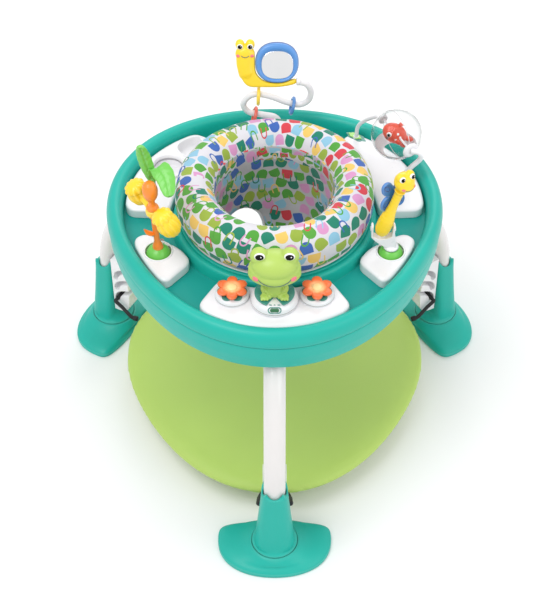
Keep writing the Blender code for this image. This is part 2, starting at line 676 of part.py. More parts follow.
def build_console():
    console = make("console_base", tile(CONSOLE_AZ, tile_outline(0.120, 0.020)), "white")
    cut(console, make("frog_dome", turned((*FROG_XY, 0), FROG_DOME, 20), "white"), "UNION")
    lip_side = turned((0, 0, 0), [(TILE_IN - 0.0008, 0.460), (TILE_IN - 0.0008, 0.520)], 40)
    cut(console, make("lip_clearance", lip_side, "black"))
    for side, xy in FLOWER_XY.items():
        cut(console, make(f"flower_dome_{side}", turned((*xy, 0), FLOWER_DOME, 16), "white"), "UNION")
        well = turned((*xy, 0), [(FLOWER_STEM_R + 0.001, 0.4850), (FLOWER_STEM_R + 0.001, 0.505)], 16)
        cut(console, make(f"flower_well_{side}", well, "black"))
    cut(console, make("switch_slot", switch_block(0.0125, 0.0048, -0.0045, 0.012), "black"))
    make("mode_switch", switch_block(0.0088, 0.0042, -0.0041, 0.0012), "leaf", SWITCH_AT)
    for side, xy in FLOWER_XY.items():
        stem = [circle((*xy, z), FLOWER_STEM_R, PETAL_STEPS) for z in (0.4905, 0.5018)]
        petals = []
        for scale, z in ((0.92, 0.5021), (1.0, 0.5045), (0.85, 0.5066), (0.30, 0.5085)):
            ring = []
            for i in range(PETAL_STEPS):
                a = TURN * i / PETAL_STEPS
                reach = (0.0225 + 0.0042 * math.cos(6 * a + math.pi / 2)) * scale
                ring.append(Vector((*xy, z)) + Vector((reach * math.cos(a), reach * math.sin(a), 0)))
            petals.append(ring)
        make(f"flower_button_{side}", loft(stem + petals), "orange", (*xy, 0.500))


def build_frog():
    pads = []
    for scale, z in ((1, 0.5061), (0.98, 0.5086)):
        ring = []
        for i in range(24):
            a = TURN * i / 24
            notch = max(0.0, 1 - abs(((math.degrees(a) - 270) + 180) % 360 - 180) / 16)
            reach = 0.030 * scale * (1 - 0.5 * notch)
            ring.append(Vector((*FROG_XY, z)) + Vector((reach * math.cos(a), reach * math.sin(a), 0)))
        pads.append(ring)
    make("lily_pads", loft(pads), "teal_dark")
    torso = [(0.020, 0.5090), (0.0215, 0.513), (0.018, 0.521), (0.0125, 0.529), (0.0100, 0.5335)]
    make("frog_body", turned((*FROG_XY, 0), torso, 20), "frog")
    coil = [(0.0062 + 0.0016 * (k % 2), 0.5338 + 0.0021 * k) for k in range(7)]
    make("frog_spring", turned((*FROG_XY, 0), coil, 12), "steel")
    centre = Vector((*FROG_XY, 0.564))
    head = make("frog_head", ball(centre, (0.0445, 0.032, 0.0275), 18, 8), "frog", (*FROG_XY, 0.5345))
    for name, x in (("frog_eye_left", -0.0255), ("frog_eye_right", 0.0255)):
        eye = ball(centre + Vector((x, 0, 0.0335)), (EYE_R, EYE_R, EYE_R), 12, 6)
        cut(head, make(name, eye, "frog"), "UNION")
    well = turned((*FROG_XY, 0), [(0.0110, 0.530), (0.0110, 0.5500)], 14)
    cut(head, make("frog_spring_well", well, "black"))


def build_stalk():
    profile = [
        (0.0095, 0), (0.0085, 0.004), (0.0055, 0.012), (0.0050, 0.068), (0.0090, 0.0735),
        (0.0090, 0.0782), (0.0050, 0.0783), (0.0050, 0.0917), (0.0105, 0.0918), (0.0100, 0.0970),
        (0.0062, 0.0995), (0.0062, 0.1060), (0.0115, 0.117), (0.0158, 0.132), (0.0155, 0.146), (0.0110, 0.160),
        (0.003, 0.1675),
    ]
    pivot = (*STALK_XY, DOME_BALL_Z)
    make("stalk", turned(STALK_FOOT, profile, 12, STALK_AXIS), "carrot", pivot)
    hub = STALK_FOOT + STALK_AXIS * (HUB_FROM + HUB_TO) / 2
    half = (HUB_TO - HUB_FROM) / 2
    rim = [(0.0060, -half), (0.0108, -half), (0.0120, 0), (0.0108, half), (0.0060, half)]
    spinner = make("stalk_spinner", turned_ring(hub, rim, 16, STALK_AXIS), "yellow", hub)
    for name, sign in (("lobe_a", 1), ("lobe_b", -1)):
        far = hub + LOBE_WAY * sign * LOBE_REACH + Vector((0, 0, LOBE_RISE))
        near = hub + LOBE_WAY * sign * 0.0085 + Vector((0, 0, 0.001))
        arm = sweep_round([near, near.lerp(far, 0.5), near.lerp(far, 0.9)], 0.0052, 8)
        cut(spinner, make(f"{name}_arm", arm, "yellow"), "UNION")
        cut(spinner, make(name, ball(far, (0.0235, 0.0235, 0.0275), 10, 6), "yellow"), "UNION")

    def blade(t):
        return 0.22 + 0.78 * math.sin(math.pi * min(1, t * 0.92 + 0.06)) ** 0.8

    # One leaf blade stands behind the bulb and one hangs beside it, joined by a stem that reaches the stalk's neck.
    neck = STALK_FOOT + STALK_AXIS * 0.1020
    stem = [neck + Vector((0.0004, 0.0090, 0)), neck + Vector((0.002, 0.0130, 0.006)),
            Vector((-0.2062, -0.0790, 0.6260)), Vector((-0.2075, -0.0775, 0.640))]
    leaves = make("stalk_leaves", sweep_round(smooth_path(stem), 0.0036, 8), "leaf", pivot)
    tall = smooth_path([(-0.2080, -0.0770, 0.632), (-0.2145, -0.0790, 0.665), (-0.2195, -0.0870, 0.700),
                        (-0.2222, -0.0980, 0.7290)])
    wide = smooth_path([(-0.2078, -0.0770, 0.6440), (-0.1980, -0.0780, 0.6620), (-0.1845, -0.0930, 0.6560),
                        (-0.1765, -0.1210, 0.6360)])
    cut(leaves, make("leaf_tall", sweep(tall, 0.0130, 0.0028, 8, (1, 0, 0), blade), "leaf"), "UNION")
    cut(leaves, make("leaf_wide", sweep(wide, 0.0140, 0.0028, 8, (0.92, 0.30, 0.24), blade), "leaf"), "UNION")


def extruded(points, y_from, y_to, centre):
    return loft([[centre + Vector((x, y, z)) for x, z in points] for y in (y_from, y_to)])


def build_dragonfly():
    foot = DOME_TOP + GAP - FORK_AT.z
    fork = [
        (-0.0195, 0.010), (-0.0195, -0.014), (-0.010, -0.025), (0.0085, foot), (0.0260, foot), (0.0255, -0.024),
        (0.0225, -0.012), (0.0225, 0.010), (0.0182, 0.010), (0.0165, -0.012), (0.006, -0.0175), (-0.006, -0.0175), (-0.0150, -0.012),
        (-0.0152, 0.010),
    ]
    make("dragonfly_clip", extruded(fork, -0.007, 0.007, FORK_AT), "white", (*DRAGONFLY_XY, DOME_BALL_Z))
    axis = (DRAGONFLY_HEAD - FORK_AT).normalized()
    body = [
        (0.006, -0.0107), (0.0110, -0.0073), (0.0138, 0.005), (0.0132, 0.0257), (0.0098, 0.0428),
        (0.0075, 0.0600), (0.0075, 0.0890), (0.0150, 0.1010), (0.0178, 0.1100), (0.0178, 0.1190),
        (0.0140, 0.1290), (0.0070, 0.1350),
    ]
    make("dragonfly_body", turned(FORK_AT, body, 14, axis), "yellow", FORK_AT)
    middle = FORK_AT + axis * 0.0710
    side = Vector((-DRAGONFLY_FACE.y, DRAGONFLY_FACE.x, 0))
    outline = []
    for i in range(24):
        a = TURN * i / 24
        reach = 0.0100 + 0.0205 * abs(math.sin(2 * a)) ** 0.8
        outline.append(side * reach * math.cos(a) + axis * reach * math.sin(a))
    rings = [[middle - DRAGONFLY_FACE * y + p * k for p in outline]
             for k, y in ((1.0, 0.0090), (1.0, 0.0126), (0.88, 0.0142))]
    make("dragonfly_wings", loft(rings), "blue", FORK_AT)


def build_globe():
    make("globe_base", tile(GLOBE_AZ, tile_outline(0.112, 0.020)), "white")
    start = math.asin(GLOBE_HOLE_R / GLOBE_R)
    arc = [start + (math.pi - 2 * start) * k / 7 for k in range(8)]
    outside = [(GLOBE_R * math.sin(a), -GLOBE_R * math.cos(a)) for a in arc]
    thin = GLOBE_R - 0.0015
    inside = [(thin * math.sin(a), -thin * math.cos(a)) for a in reversed(arc)]
    make("globe", turned_ring(GLOBE_AT, outside + inside, 16, GLOBE_AXIS), "clear", GLOBE_AT)
    rod = turned(GLOBE_AT, [(0.003, -0.0438), (0.003, 0.0438)], 10, GLOBE_AXIS)
    fish = make("globe_fish", rod, "red", GLOBE_AT)
    cut(fish, make("fish_body", ball(GLOBE_AT, (0.0210, 0.0150, 0.0270), 12, 6), "red"), "UNION")
    for name, sign, disc, radius, path in (
        ("globe_arm_right", 1, 0.0150, 0.0048, [
            (0.2600, 0.0655, 0.5730), (0.2630, 0.0690, 0.557), (0.2490, 0.0745, 0.533), (0.2405, 0.0840, 0.510),
            (0.2390, 0.0870, 0.496), (0.2388, 0.0873, TILE_TOP + 3 * GAP)]),
        ("globe_arm_left", -1, 0.0095, 0.0037, [
            (0.1870, 0.1760, 0.566), (0.1700, 0.1980, 0.540), (0.1575, 0.2110, 0.514), (0.1550, 0.2125, 0.4902)]),
    ):
        axis = GLOBE_AXIS * sign
        cap = [(0.0050, 0.0446), (0.0050, 0.0476), (disc, 0.0478), (disc, 0.0500), (disc * 0.7, 0.0530),
               (0.004, 0.0545)]
        arm = make(name, turned(GLOBE_AT, cap, 14, axis), "white")
        begin = GLOBE_AT + axis * 0.0515
        bar = sweep_round(smooth_path([begin, *path]), radius, 8)
        cut(arm, make(f"{name}_bar", bar, "white"), "UNION")
    foot = Vector((0.1550, 0.2125, 0))
    way = Vector((-foot.y, foot.x, 0)).normalized()
    out = foot.normalized()
    rings = []
    for scale, z in ((1, TILE_TOP + GAP), (1, TILE_TOP + 0.0018), (0.85, TILE_TOP + 0.0028)):
        rings.append([
            foot + way * 0.020 * scale * math.cos(TURN * i / 20) + out * 0.0075 * scale * math.sin(TURN * i / 20)
            + Vector((0, 0, z))
            for i in range(20)
        ])
    make("globe_leaf", loft(rings), "teal_dark")


def build_snack_tray():
    snack = make("snack_tray", tile(SNACK_AZ, tile_outline(0.112, 0.020)), "white")
    cup = polar(0.2340, 147.5)
    floor = TROUGH_Z + 0.004
    well = turned((cup.x, cup.y, 0), [(0.0245, floor), (0.0265, TILE_TOP - 0.004), (0.0285, TILE_TOP + 0.004)], 24)
    cut(snack, make("cup_well", well, "black"))
    oval = rounded([(-0.028, 0.204, 0.024), (0.028, 0.204, 0.024), (0.028, 0.259, 0.024), (-0.028, 0.259, 0.024)])
    levels = ((0.004, floor), (0.0, TILE_TOP - 0.004), (-0.002, TILE_TOP + 0.004))
    well = loft([[tile_point(129.5, p, z) for p in inset(oval, d)] for d, z in levels])
    cut(snack, make("oval_well", well, "black"))


def build_loop():
    make("loop_base", tile(LOOP_AZ, tile_outline(0.056, 0.016)), "white")
    path = smooth_path([(x, LOOP_Y, z) for x, z in LOOP_ROUTE])
    make("loop_tube", sweep_round(path, LOOP_R, 8), "tube")
    profile = [
        (RING_MEAN_R + RING_THICK * math.cos(TURN * j / 6), RING_THICK * math.sin(TURN * j / 6)) for j in range(6)
    ]
    for colour, k in RING_SPOTS.items():
        at, along = path[k], (path[k + 1] - path[k - 1]).normalized()
        down = Vector((0, 0, -1))
        down = (down - along * down.dot(along)).normalized()
        make(f"ring_{colour}", turned_ring(at + down * RING_HANG, profile, 16, along), colour, at)


def snail_point(x, up, out):
    return SNAIL_AT + Vector((x, 0, 0)) + SNAIL_UP * up + SNAIL_FACE * out


def build_snail():
    corners = [
        (-0.054, -0.0030, 0.020), (0.0100, -0.0030, 0.010), (0.0418, 0.0030, 0.004), (0.0418, 0.0142, 0.004),
        (0.0310, 0.0130, 0.003), (0.0200, 0.0085, 0.004), (0.0044, 0.0058, 0.006), (-0.0150, 0.0085, 0.004),
        (-0.0262, 0.0140, 0.004), (-0.0358, 0.0260, 0.003), (-0.0358, 0.0760, 0.008), (-0.0715, 0.0760, 0.014), (-0.0715, 0.0330, 0.014),
    ]
    outline = rounded(corners, 3, 0.03)
    rings = [[snail_point(p.x, p.y, n) for p in inset(outline, d)]
             for d, n in ((0.0015, -0.0065), (0, -0.0045), (0, 0.0045), (0.0015, 0.0065))]
    make("snail_body", loft(rings), "yellow", LOOP_END)
    levels = (  # share of the shell's outline and height from its middle, round its edge and into the mirror's seat
        (0.88, -0.0090), (1.0, -0.0050), (1.0, 0.0050), (0.93, 0.0090), (0.84, 0.0095), (0.80, 0.0085), (0.80, 0.0055),
    )
    middle, wide, tall = (0.0044, 0.0440), 0.0396, 0.0372

    def ellipse(share, n, lift=0.0):
        turns = [TURN * i / RIM_STEPS for i in range(RIM_STEPS)]
        return [snail_point(middle[0] + wide * share * math.cos(a), middle[1] + lift + tall * share * math.sin(a), n)
                for a in turns]

    drop = [0, 0, 0, 0, -0.002, -0.0025, -0.0025]
    make("snail_shell", loft([ellipse(s, n, d) for (s, n), d in zip(levels, drop)]), "blue", LOOP_END)
    rings = [ellipse(0.79, n, -0.0025) for n in (0.0055 + GAP, 0.0082)]
    make("snail_mirror", loft(rings), "mirror", LOOP_END)


def build():
    tray_base = build_tray()
    build_electronics()
    build_seat()
    for side, azimuth in LEGS.items():
        build_foot(side, azimuth)
        build_hook_block(side, azimuth)
        build_leg(side, azimuth, tray_base)
        build_bungee(side, azimuth)
    build_mat()
    build_console()
    build_frog()
    build_corner_station("stalk_base", STALK_AZ, False, STALK_XY)
    build_dome("stalk_dome", STALK_XY)
    build_stalk()
    build_corner_station("dragonfly_base", DRAGONFLY_AZ, True, DRAGONFLY_XY)
    build_dome("dragonfly_dome", DRAGONFLY_XY)
    build_dragonfly()
    build_globe()
    build_snack_tray()
    build_loop()
    build_snail()


build()
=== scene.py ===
"""Looks of the activity jumper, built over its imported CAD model. Metres, +Z up, in the CAD's frame.

Shapes are made about the seat's vertical axis and moved to it when their mesh is made. A point beside a
leg or a station is (radius from that axis, distance sideways, height), turned to the azimuth where it
belongs.
"""

import math

import bmesh
import bpy
from mathutils import Matrix, Vector, noise
from mathutils.geometry import delaunay_2d_cdt


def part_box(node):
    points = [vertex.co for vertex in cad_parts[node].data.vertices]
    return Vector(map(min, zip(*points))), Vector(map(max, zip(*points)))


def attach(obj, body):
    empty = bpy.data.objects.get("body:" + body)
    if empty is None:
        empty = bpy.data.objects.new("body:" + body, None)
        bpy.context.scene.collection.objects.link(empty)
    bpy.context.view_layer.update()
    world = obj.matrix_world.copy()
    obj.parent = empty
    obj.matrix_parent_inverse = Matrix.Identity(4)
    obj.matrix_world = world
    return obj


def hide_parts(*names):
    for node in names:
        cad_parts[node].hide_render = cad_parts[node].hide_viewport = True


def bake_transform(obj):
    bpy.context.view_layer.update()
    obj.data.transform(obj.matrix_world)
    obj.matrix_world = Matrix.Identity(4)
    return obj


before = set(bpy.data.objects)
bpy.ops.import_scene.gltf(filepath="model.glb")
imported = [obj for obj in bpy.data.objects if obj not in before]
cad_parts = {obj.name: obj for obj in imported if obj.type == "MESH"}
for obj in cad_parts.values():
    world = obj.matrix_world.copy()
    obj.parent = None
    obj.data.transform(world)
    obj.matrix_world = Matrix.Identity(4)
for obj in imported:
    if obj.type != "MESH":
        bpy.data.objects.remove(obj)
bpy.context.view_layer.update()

TURN = 2 * math.pi
UP = Vector((0, 0, 1))


def middle(node):
    low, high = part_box(node)
    return (low + high) / 2


AXIS = Vector((middle("seat_ring").x, middle("seat_ring").y, 0))


def low(node):
    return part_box(node)[0] - AXIS


def high(node):
    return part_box(node)[1] - AXIS


# Driving sizes, as in the CAD
LEGS = {"front": -90.0, "right": 30.0, "left": 150.0}
TRAY_R, TRAY_LOBE = 0.3035, 0.040
SEAM_Z, CREST_Z, SKIRT_Z = low("tray_top").z + 0.005, high("tray_top").z, 0.411
TROUGH_Z, TILE_TOP = 0.466, high("globe_base").z
TILE_IN, TILE_OUT = 0.188, 0.2695
FOOT_R, PEDESTAL_R, COLLAR_R = 0.371, 0.3895, 0.0417
COLUMN_IN, COLUMN_OUT, COLUMN_HALF = 0.3697, 0.4185, 0.0305
MAT_R, MAT_LOBE = 0.297, 0.016
MAT_TOP, MAT_BOTTOM = high("bounce_mat").z, low("bounce_mat").z
DONUT_R, DONUT_Z = 0.1425, middle("seat_donut").z
SLING_FRONT, LEG_HOLE_SPREAD, LEG_HOLE_R = 167.0, 40.0, 0.0470
BOW_R, BOW_Z, BOW_ANGLE = 0.2705, 0.170, 52.0
TUBE_R, TUBE_TOP_Z = 0.390, 0.441
SLOT_R, SLOT_ZS = 0.3600, (0.099, 0.1285, 0.158)
CORD_R = 0.004
TILE_RADIUS = 0.22875
HOLE_R, BALL_R, BALL_Z = 0.0234, 0.0225, 0.4775
STALK_AT, DRAGON_AT = Vector((-0.2049, -0.0985, 0)), Vector((0.2044, -0.0985, 0))
STALK_AXIS = Vector((-0.04717, -0.02268, 0.99863)).normalized()
TOY_FOOT_Z = 0.5003  # where the stalk and the dragonfly's clip leave their balls
CONSOLE_AT, CONSOLE_CLEAR, DOME_TOP = Vector((0, -0.2184, 0)), 0.1874, 0.5058
FLOWER_AT, PETALS_Z = Vector((0.0725, -0.2065, 0)), 0.5046
FROG_AT = CONSOLE_AT + UP * 0.564
FROG_HEAD = (0.0445, 0.0320, 0.0275)
SIDES = ((-1, "left"), (1, "right"))


# ------------------------------------------------------------------ shapes


def polar(radius, degrees, z=0.0):
    a = math.radians(degrees)
    return Vector((radius * math.cos(a), radius * math.sin(a), z))


def signed_power(value, power):
    return math.copysign(abs(value) ** power, value)


def angles(steps):
    """Cosine and sine at equal steps round a circle."""
    return [(math.cos(TURN * i / steps), math.sin(TURN * i / steps)) for i in range(steps)]


def local(azimuth, r, t, z):
    out = polar(1, azimuth)
    return out * r + Vector((-out.y, out.x, 0)) * t + UP * z


def lobe(theta):
    """1 over a leg, -1 midway between two legs."""
    return math.cos(3 * (theta + math.pi / 2))


def bezier(a, b, c, t):
    return a * (1 - t) ** 2 + b * 2 * t * (1 - t) + c * t * t


def soften(points, radius, steps=4):
    """A closed polyline with its corners rounded."""
    made = []
    for i, point in enumerate(points):
        here, before, after = Vector(point), Vector(points[i - 1]), Vector(points[(i + 1) % len(points)])
        start = here + (before - here) * min(0.46, radius / max(1e-9, (before - here).length))
        end = here + (after - here) * min(0.46, radius / max(1e-9, (after - here).length))
        made += [bezier(start, here, end, k / steps) for k in range(steps + 1)]
    return made


def curve_through(points, per_span):
    """Catmull-Rom through the points."""
    pts = [Vector(p) for p in points]
    pts = [2 * pts[0] - pts[1], *pts, 2 * pts[-1] - pts[-2]]
    made = []
    for a, b, c, d in zip(pts, pts[1:], pts[2:], pts[3:]):
        for k in range(per_span):
            t = k / per_span
            made.append(0.5 * (2 * b + (c - a) * t + (2 * a - 5 * b + 4 * c - d) * t**2
                               + (3 * b - a - 3 * c + d) * t**3))
    return [*made, pts[-2]]


def filled(outline, longest):
    """A closed outline with points added so that no edge is longer than that."""
    made = []
    for a, b in zip(outline, outline[1:] + outline[:1]):
        parts = max(1, math.ceil((b - a).length / longest))
        made += [a.lerp(b, k / parts) for k in range(parts)]
    return made


def inset(outline, distance):
    """A closed anticlockwise outline moved inwards."""
    made = []
    for i, p in enumerate(outline):
        along = (outline[(i + 1) % len(outline)] - outline[i - 1]).normalized()
        made.append(p + Vector((-along.y, along.x)) * distance)
    return made


def skin(rings, closed=False, caps=True, bm=None):
    """A skin over rings of as many points each, capped at its two ends, or closed on itself."""
    bm = bm or bmesh.new()
    loops = [[bm.verts.new(p) for p in ring] for ring in rings]
    pairs = list(zip(loops, loops[1:])) + ([(loops[-1], loops[0])] if closed else [])
    for a, b in pairs:
        for i in range(len(a)):
            j = (i + 1) % len(a)
            bm.faces.new((a[i], a[j], b[j], b[i]))
    if caps and not closed:
        bm.faces.new(loops[0])
        bm.faces.new(loops[-1])
    return bm


def circle(centre, radius, steps, axis=UP):
    axis = Vector(axis).normalized()
    side = Vector((1, 0, 0)) if abs(axis.z) > 0.999 else axis.orthogonal().normalized()
    other = axis.cross(side)
    return [Vector(centre) + (side * c + other * s) * radius for c, s in angles(steps)]


def turned(centre, profile, steps, axis=UP, closed=False, bm=None, wave=None):
    """A solid of circles from (radius, distance along the axis). wave(angle, share) scales the radius."""
    axis = Vector(axis).normalized()
    rings = []
    for n, (r, h) in enumerate(profile):
        ring = circle(Vector(centre) + axis * h, r, steps, axis)
        if wave:
            hub = Vector(centre) + axis * h
            ring = [hub + (p - hub) * wave(TURN * i / steps, n / (len(profile) - 1)) for i,
                    p in enumerate(ring)]
        rings.append(ring)
    return skin(rings, closed=closed, bm=bm)


def swept(path, radius, steps, taper=None, flat=1.0, wide=None, bm=None, closed=False):
    """A tube along a path. flat scales it across its wide direction, which is kept near to wide."""
    rings = []
    side = (path[1] - path[0]).orthogonal().normalized()
    count = len(path)
    for i, p in enumerate(path):
        ahead = path[(i + 1) % count] - path[i - 1] if closed else path[min(i + 1,
                count - 1)] - path[max(i - 1, 0)]
        ahead = ahead.normalized()
        if wide is not None:
            side = Vector(wide)
        side = (side - ahead * side.dot(ahead)).normalized()
        other = ahead.cross(side)
        k = taper(i / (count - 1)) if taper else 1.0
        rings.append([p + (side * c + other * s * flat) * radius * k for c, s in angles(steps)])
    return skin(rings, closed=closed, bm=bm)


def round_ends(share):
    """A taper that closes a tube to a round end at both sides. share is the end's part of the length."""
    def taper(t):
        near = min(t, 1 - t) / share
        return 1.0 if near >= 1 else max(0.03, math.sqrt(1 - (1 - near) ** 2))
    return taper


def ball(centre, half, steps, rings, turn=None, bm=None):
    """An ellipsoid of those half sizes."""
    made = []
    for k in range(rings + 1):
        phi = math.pi * (0.015 + 0.97 * k / rings)
        wide, tall = math.sin(phi), -half[2] * math.cos(phi)
        ring = [Vector((half[0] * wide * c, half[1] * wide * s, tall)) for c, s in angles(steps)]
        made.append([Vector(centre) + (turn @ p if turn else p) for p in ring])
    return skin(made, bm=bm)


def lobed(profile, steps=180):
    """A ring round the seat's axis from (mean radius, z, share of the tray's lobes)."""
    thetas = [TURN * i / steps for i in range(steps)]
    return skin([[Vector((math.cos(a), math.sin(a), 0)) * r * (1 + TRAY_LOBE * w * lobe(a)) + UP * z
                  for a in thetas] for r, z, w in profile], closed=True)


def piece(name, bm, material, body, replaces=(), slot=None, crisp=True, origin=(0, 0, 0)):
    """Makes an object of the mesh, which is in the seat axis's coordinates, and lets it ride on a body."""
    bmesh.ops.recalc_face_normals(bm, faces=bm.faces)
    mesh = bpy.data.meshes.new(name)
    bmesh.ops.translate(bm, verts=bm.verts, vec=-Vector(origin))
    bm.to_mesh(mesh)
    bm.free()
    mesh.shade_smooth()
    mesh.materials.append(material)
    obj = bpy.data.objects.new(name, mesh)
    bpy.context.scene.collection.objects.link(obj)
    obj.location = AXIS + Vector(origin)
    if crisp:
        weighted = obj.modifiers.new("weighted", "WEIGHTED_NORMAL")
        weighted.keep_sharp = True
    if body:
        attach(obj, body)
    if replaces:
        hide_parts(*replaces)
    return obj


def blob(name, bm, material, body, voxel, rounds, **options):
    """Overlapping balls and tubes melted into one smooth moulded shape."""
    obj = piece(name, bm, material, body, crisp=False, **options)
    remesh = obj.modifiers.new("melt", "REMESH")
    remesh.mode = "VOXEL"
    remesh.voxel_size = voxel
    remesh.use_smooth_shade = True
    relax = obj.modifiers.new("relax", "SMOOTH")
    relax.factor = 0.5
    relax.iterations = rounds
    return obj


# ------------------------------------------------------------------ materials


class Recipe:
    """A material's node tree. Each call adds one node and returns its output socket."""

    def __init__(self, name, roughness, **shader):
        self.material = bpy.data.materials.new(name)
        self.material.use_nodes = True
        self.tree = self.material.node_tree
        self.shader = self.tree.nodes["Principled BSDF"]
        self.shader.inputs["Roughness"].default_value = roughness
        for key, value in shader.items():
            self.shader.inputs[key.replace("_", " ").title().replace("Ior", "IOR")].default_value = value
        self.coords = self.add("ShaderNodeTexCoord")

    def add(self, kind, settings=None, **inputs):
        node = self.tree.nodes.new(kind)
        for key, value in (settings or {}).items():
            setattr(node, key, value)
        for key, value in inputs.items():
            socket = node.inputs[int(key[1:])] if key[1:].isdigit() else node.inputs[key.replace("_", " ")]
            if isinstance(value, bpy.types.NodeSocket):
                self.tree.links.new(value, socket)
            else:
                socket.default_value = value
        return node

    def place(self, how="Object"):
        return self.coords.outputs[how]

    def noise(self, scale, detail):
        return self.add("ShaderNodeTexNoise", Vector=self.place(), Scale=scale,
                        Detail=detail).outputs["Fac"]

    def math(self, operation, a, b=0.0, c=0.0):
        return self.add("ShaderNodeMath", {"operation": operation}, i0=a, i1=b, i2=c).outputs[0]

    def ramp(self, value, stops, constant=False):
        node = self.add("ShaderNodeValToRGB", Fac=value)
        if constant:
            node.color_ramp.interpolation = "CONSTANT"
        elements = node.color_ramp.elements
        while len(elements) < len(stops):
            elements.new(0.5)
        for element, (position, colour) in zip(elements, stops):
            element.position = position
            element.color = (*colour, 1)
        return node.outputs["Color"]

    def mix(self, share, a, b):
        node = self.add("ShaderNodeMix", {"data_type": "RGBA"}, i0=share)
        for socket, value in ((node.inputs[6], a), (node.inputs[7], b)):
            if isinstance(value, bpy.types.NodeSocket):
                self.tree.links.new(value, socket)
            else:
                socket.default_value = (*value, 1)
        return node.outputs[2]

    def link(self, value, name):
        self.tree.links.new(value, self.shader.inputs[name])

    def bump(self, height, strength, distance):
        node = self.add("ShaderNodeBump", Height=height, Strength=strength, Distance=distance)
        self.link(node.outputs["Normal"], "Normal")


def shade(colour, factor):
    return tuple(min(1.0, c * factor) for c in colour)


def plastic(name, colour, roughness, coat=0.25, edge_highlight=0.5, grain=0.10, **shader):
    """Moulded plastic: mottled a little, with a painted highlight that lightens its convex edges, and a fine
    sparked grain.
    """
    made = Recipe(name, roughness, coat_weight=coat, coat_roughness=0.12, **shader)
    cloud = made.noise(9, 4)
    base = made.mix(cloud, shade(colour, 0.93), shade(colour, 1.05))
    # Painted highlight: where the surface is convex (high pointiness) its colour is mixed towards a lighter
    # tint.
    point = made.add("ShaderNodeNewGeometry").outputs["Pointiness"]
    edge = made.add("ShaderNodeMapRange", Value=point)
    for key, value in (("From Min", 0.52), ("From Max", 0.62), ("To Min", 0.0), ("To Max", edge_highlight)):
        edge.inputs[key].default_value = value
    light = tuple(c + (1 - c) * 0.30 for c in colour)
    made.link(made.mix(edge.outputs[0], base, light), "Base Color")
    rough = made.math("MULTIPLY_ADD", made.noise(60, 5), 0.14, roughness - 0.07)
    made.link(rough, "Roughness")
    made.bump(made.noise(1600, 2), grain, 0.0004)
    return made.material


def cloth_grain(made, size):
    """Height of a woven cloth with threads that far apart."""
    split = made.add("ShaderNodeSeparateXYZ", Vector=made.place()).outputs
    k = TURN / size
    waves = [made.math("SINE", made.math("MULTIPLY", split[i], k)) for i in range(3)]
    return made.math("ADD", made.math("MULTIPLY", waves[0], waves[1]),
                     made.math("MULTIPLY", waves[1], waves[2]))


PRINT = [  # colours of the seat's printed motifs
    (0.075, 0.330, 0.040), (0.008, 0.200, 0.130), (0.250, 0.500, 0.660), (0.040, 0.120, 0.420),
    (0.620, 0.045, 0.065), (0.640, 0.290, 0.520), (0.780, 0.520, 0.130), (0.290, 0.400, 0.050),
    (0.075, 0.330, 0.040), (0.008, 0.200, 0.130), (0.095, 0.350, 0.045), (0.290, 0.400, 0.050),
]
CLOTH_WHITE = (0.680, 0.665, 0.715)


def printed_cloth(name, dim=1.0):
    """Off-white cloth with a half-round printed in each cell of the UV map, and outlined arches over some. A
    factor below one darkens its ground colour as painted shade.
    """
    made = Recipe(name, 0.88, sheen_weight=0.15, sheen_roughness=0.5)
    m = made.math
    uv = made.add("ShaderNodeSeparateXYZ", Vector=made.place("UV")).outputs

    def motif(shift, seed, stretch):
        """Height in the motif, distance from its centre, the cell's random numbers and its colour."""
        v = m("ADD", uv[1], shift)
        row = m("FLOOR", v)
        u = m("ADD", uv[0], m("MULTIPLY_ADD", m("MODULO", row, 2.0), 0.5, shift))
        cell = made.add("ShaderNodeCombineXYZ", X=m("FLOOR", u), Y=row, Z=seed).outputs[0]
        random = made.add("ShaderNodeTexWhiteNoise", {"noise_dimensions": "3D"}, Vector=cell)
        split = made.add("ShaderNodeSeparateXYZ", Vector=random.outputs["Color"]).outputs
        x, y = m("SUBTRACT", m("FRACT", u), 0.5), m("SUBTRACT", m("FRACT", v), 0.5)
        # Most motifs stand upside down, and each leans a little.
        flip = m("MULTIPLY_ADD", m("GREATER_THAN", split[0], 0.32), -2.0, 1.0)
        lean = m("MULTIPLY", m("SUBTRACT", split[1], 0.5), 1.1)
        lean_cos, lean_sin = m("COSINE", lean), m("SINE", lean)
        px = m("SUBTRACT", m("MULTIPLY", x, lean_cos), m("MULTIPLY", y, lean_sin))
        py = m("ADD", m("MULTIPLY", x, lean_sin), m("MULTIPLY", y, lean_cos))
        px, py = m("MULTIPLY", px, stretch), m("MULTIPLY", py, flip)
        above = m("MAXIMUM", m("SUBTRACT", py, 0.02), 0.0)
        reach = m("SQRT", m("ADD", m("MULTIPLY", px, px), m("MULTIPLY", above, above)))
        ink = made.ramp(m("FRACT", m("MULTIPLY", split[0], 5.7)),
                        [(i / len(PRINT), c) for i, c in enumerate(PRINT)], constant=True)
        return py, reach, split, ink

    py, reach, split, ink = motif(0.0, 1.0, 1.0)
    foot = m("MULTIPLY_ADD", split[2], 0.14, -0.49)
    solid = m("MULTIPLY", m("LESS_THAN", reach, 0.43), m("GREATER_THAN", py, foot))
    solid = m("MULTIPLY", solid, m("LESS_THAN", m("FRACT", m("MULTIPLY", split[1], 9.1)), 0.93))
    # The ground colour is scaled by the factor: painted shade where it is below one.
    ground = made.mix(made.noise(30, 3), shade(CLOTH_WHITE, 0.94 * dim), shade(CLOTH_WHITE, dim))
    colour = made.mix(solid, ground, ink)
    py, reach, split, ink = motif(0.5, 7.0, 1.30)
    line = m("MULTIPLY", m("LESS_THAN", reach, 0.36), m("GREATER_THAN", reach, 0.24))
    line = m("MULTIPLY", line, m("GREATER_THAN", py, -0.46))
    line = m("MULTIPLY", line, m("GREATER_THAN", m("FRACT", m("MULTIPLY", split[1], 6.3)), 0.66))
    made.link(made.mix(line, colour, ink), "Base Color")
    made.bump(cloth_grain(made, 0.0011), 0.25, 0.0003)
    return made.material


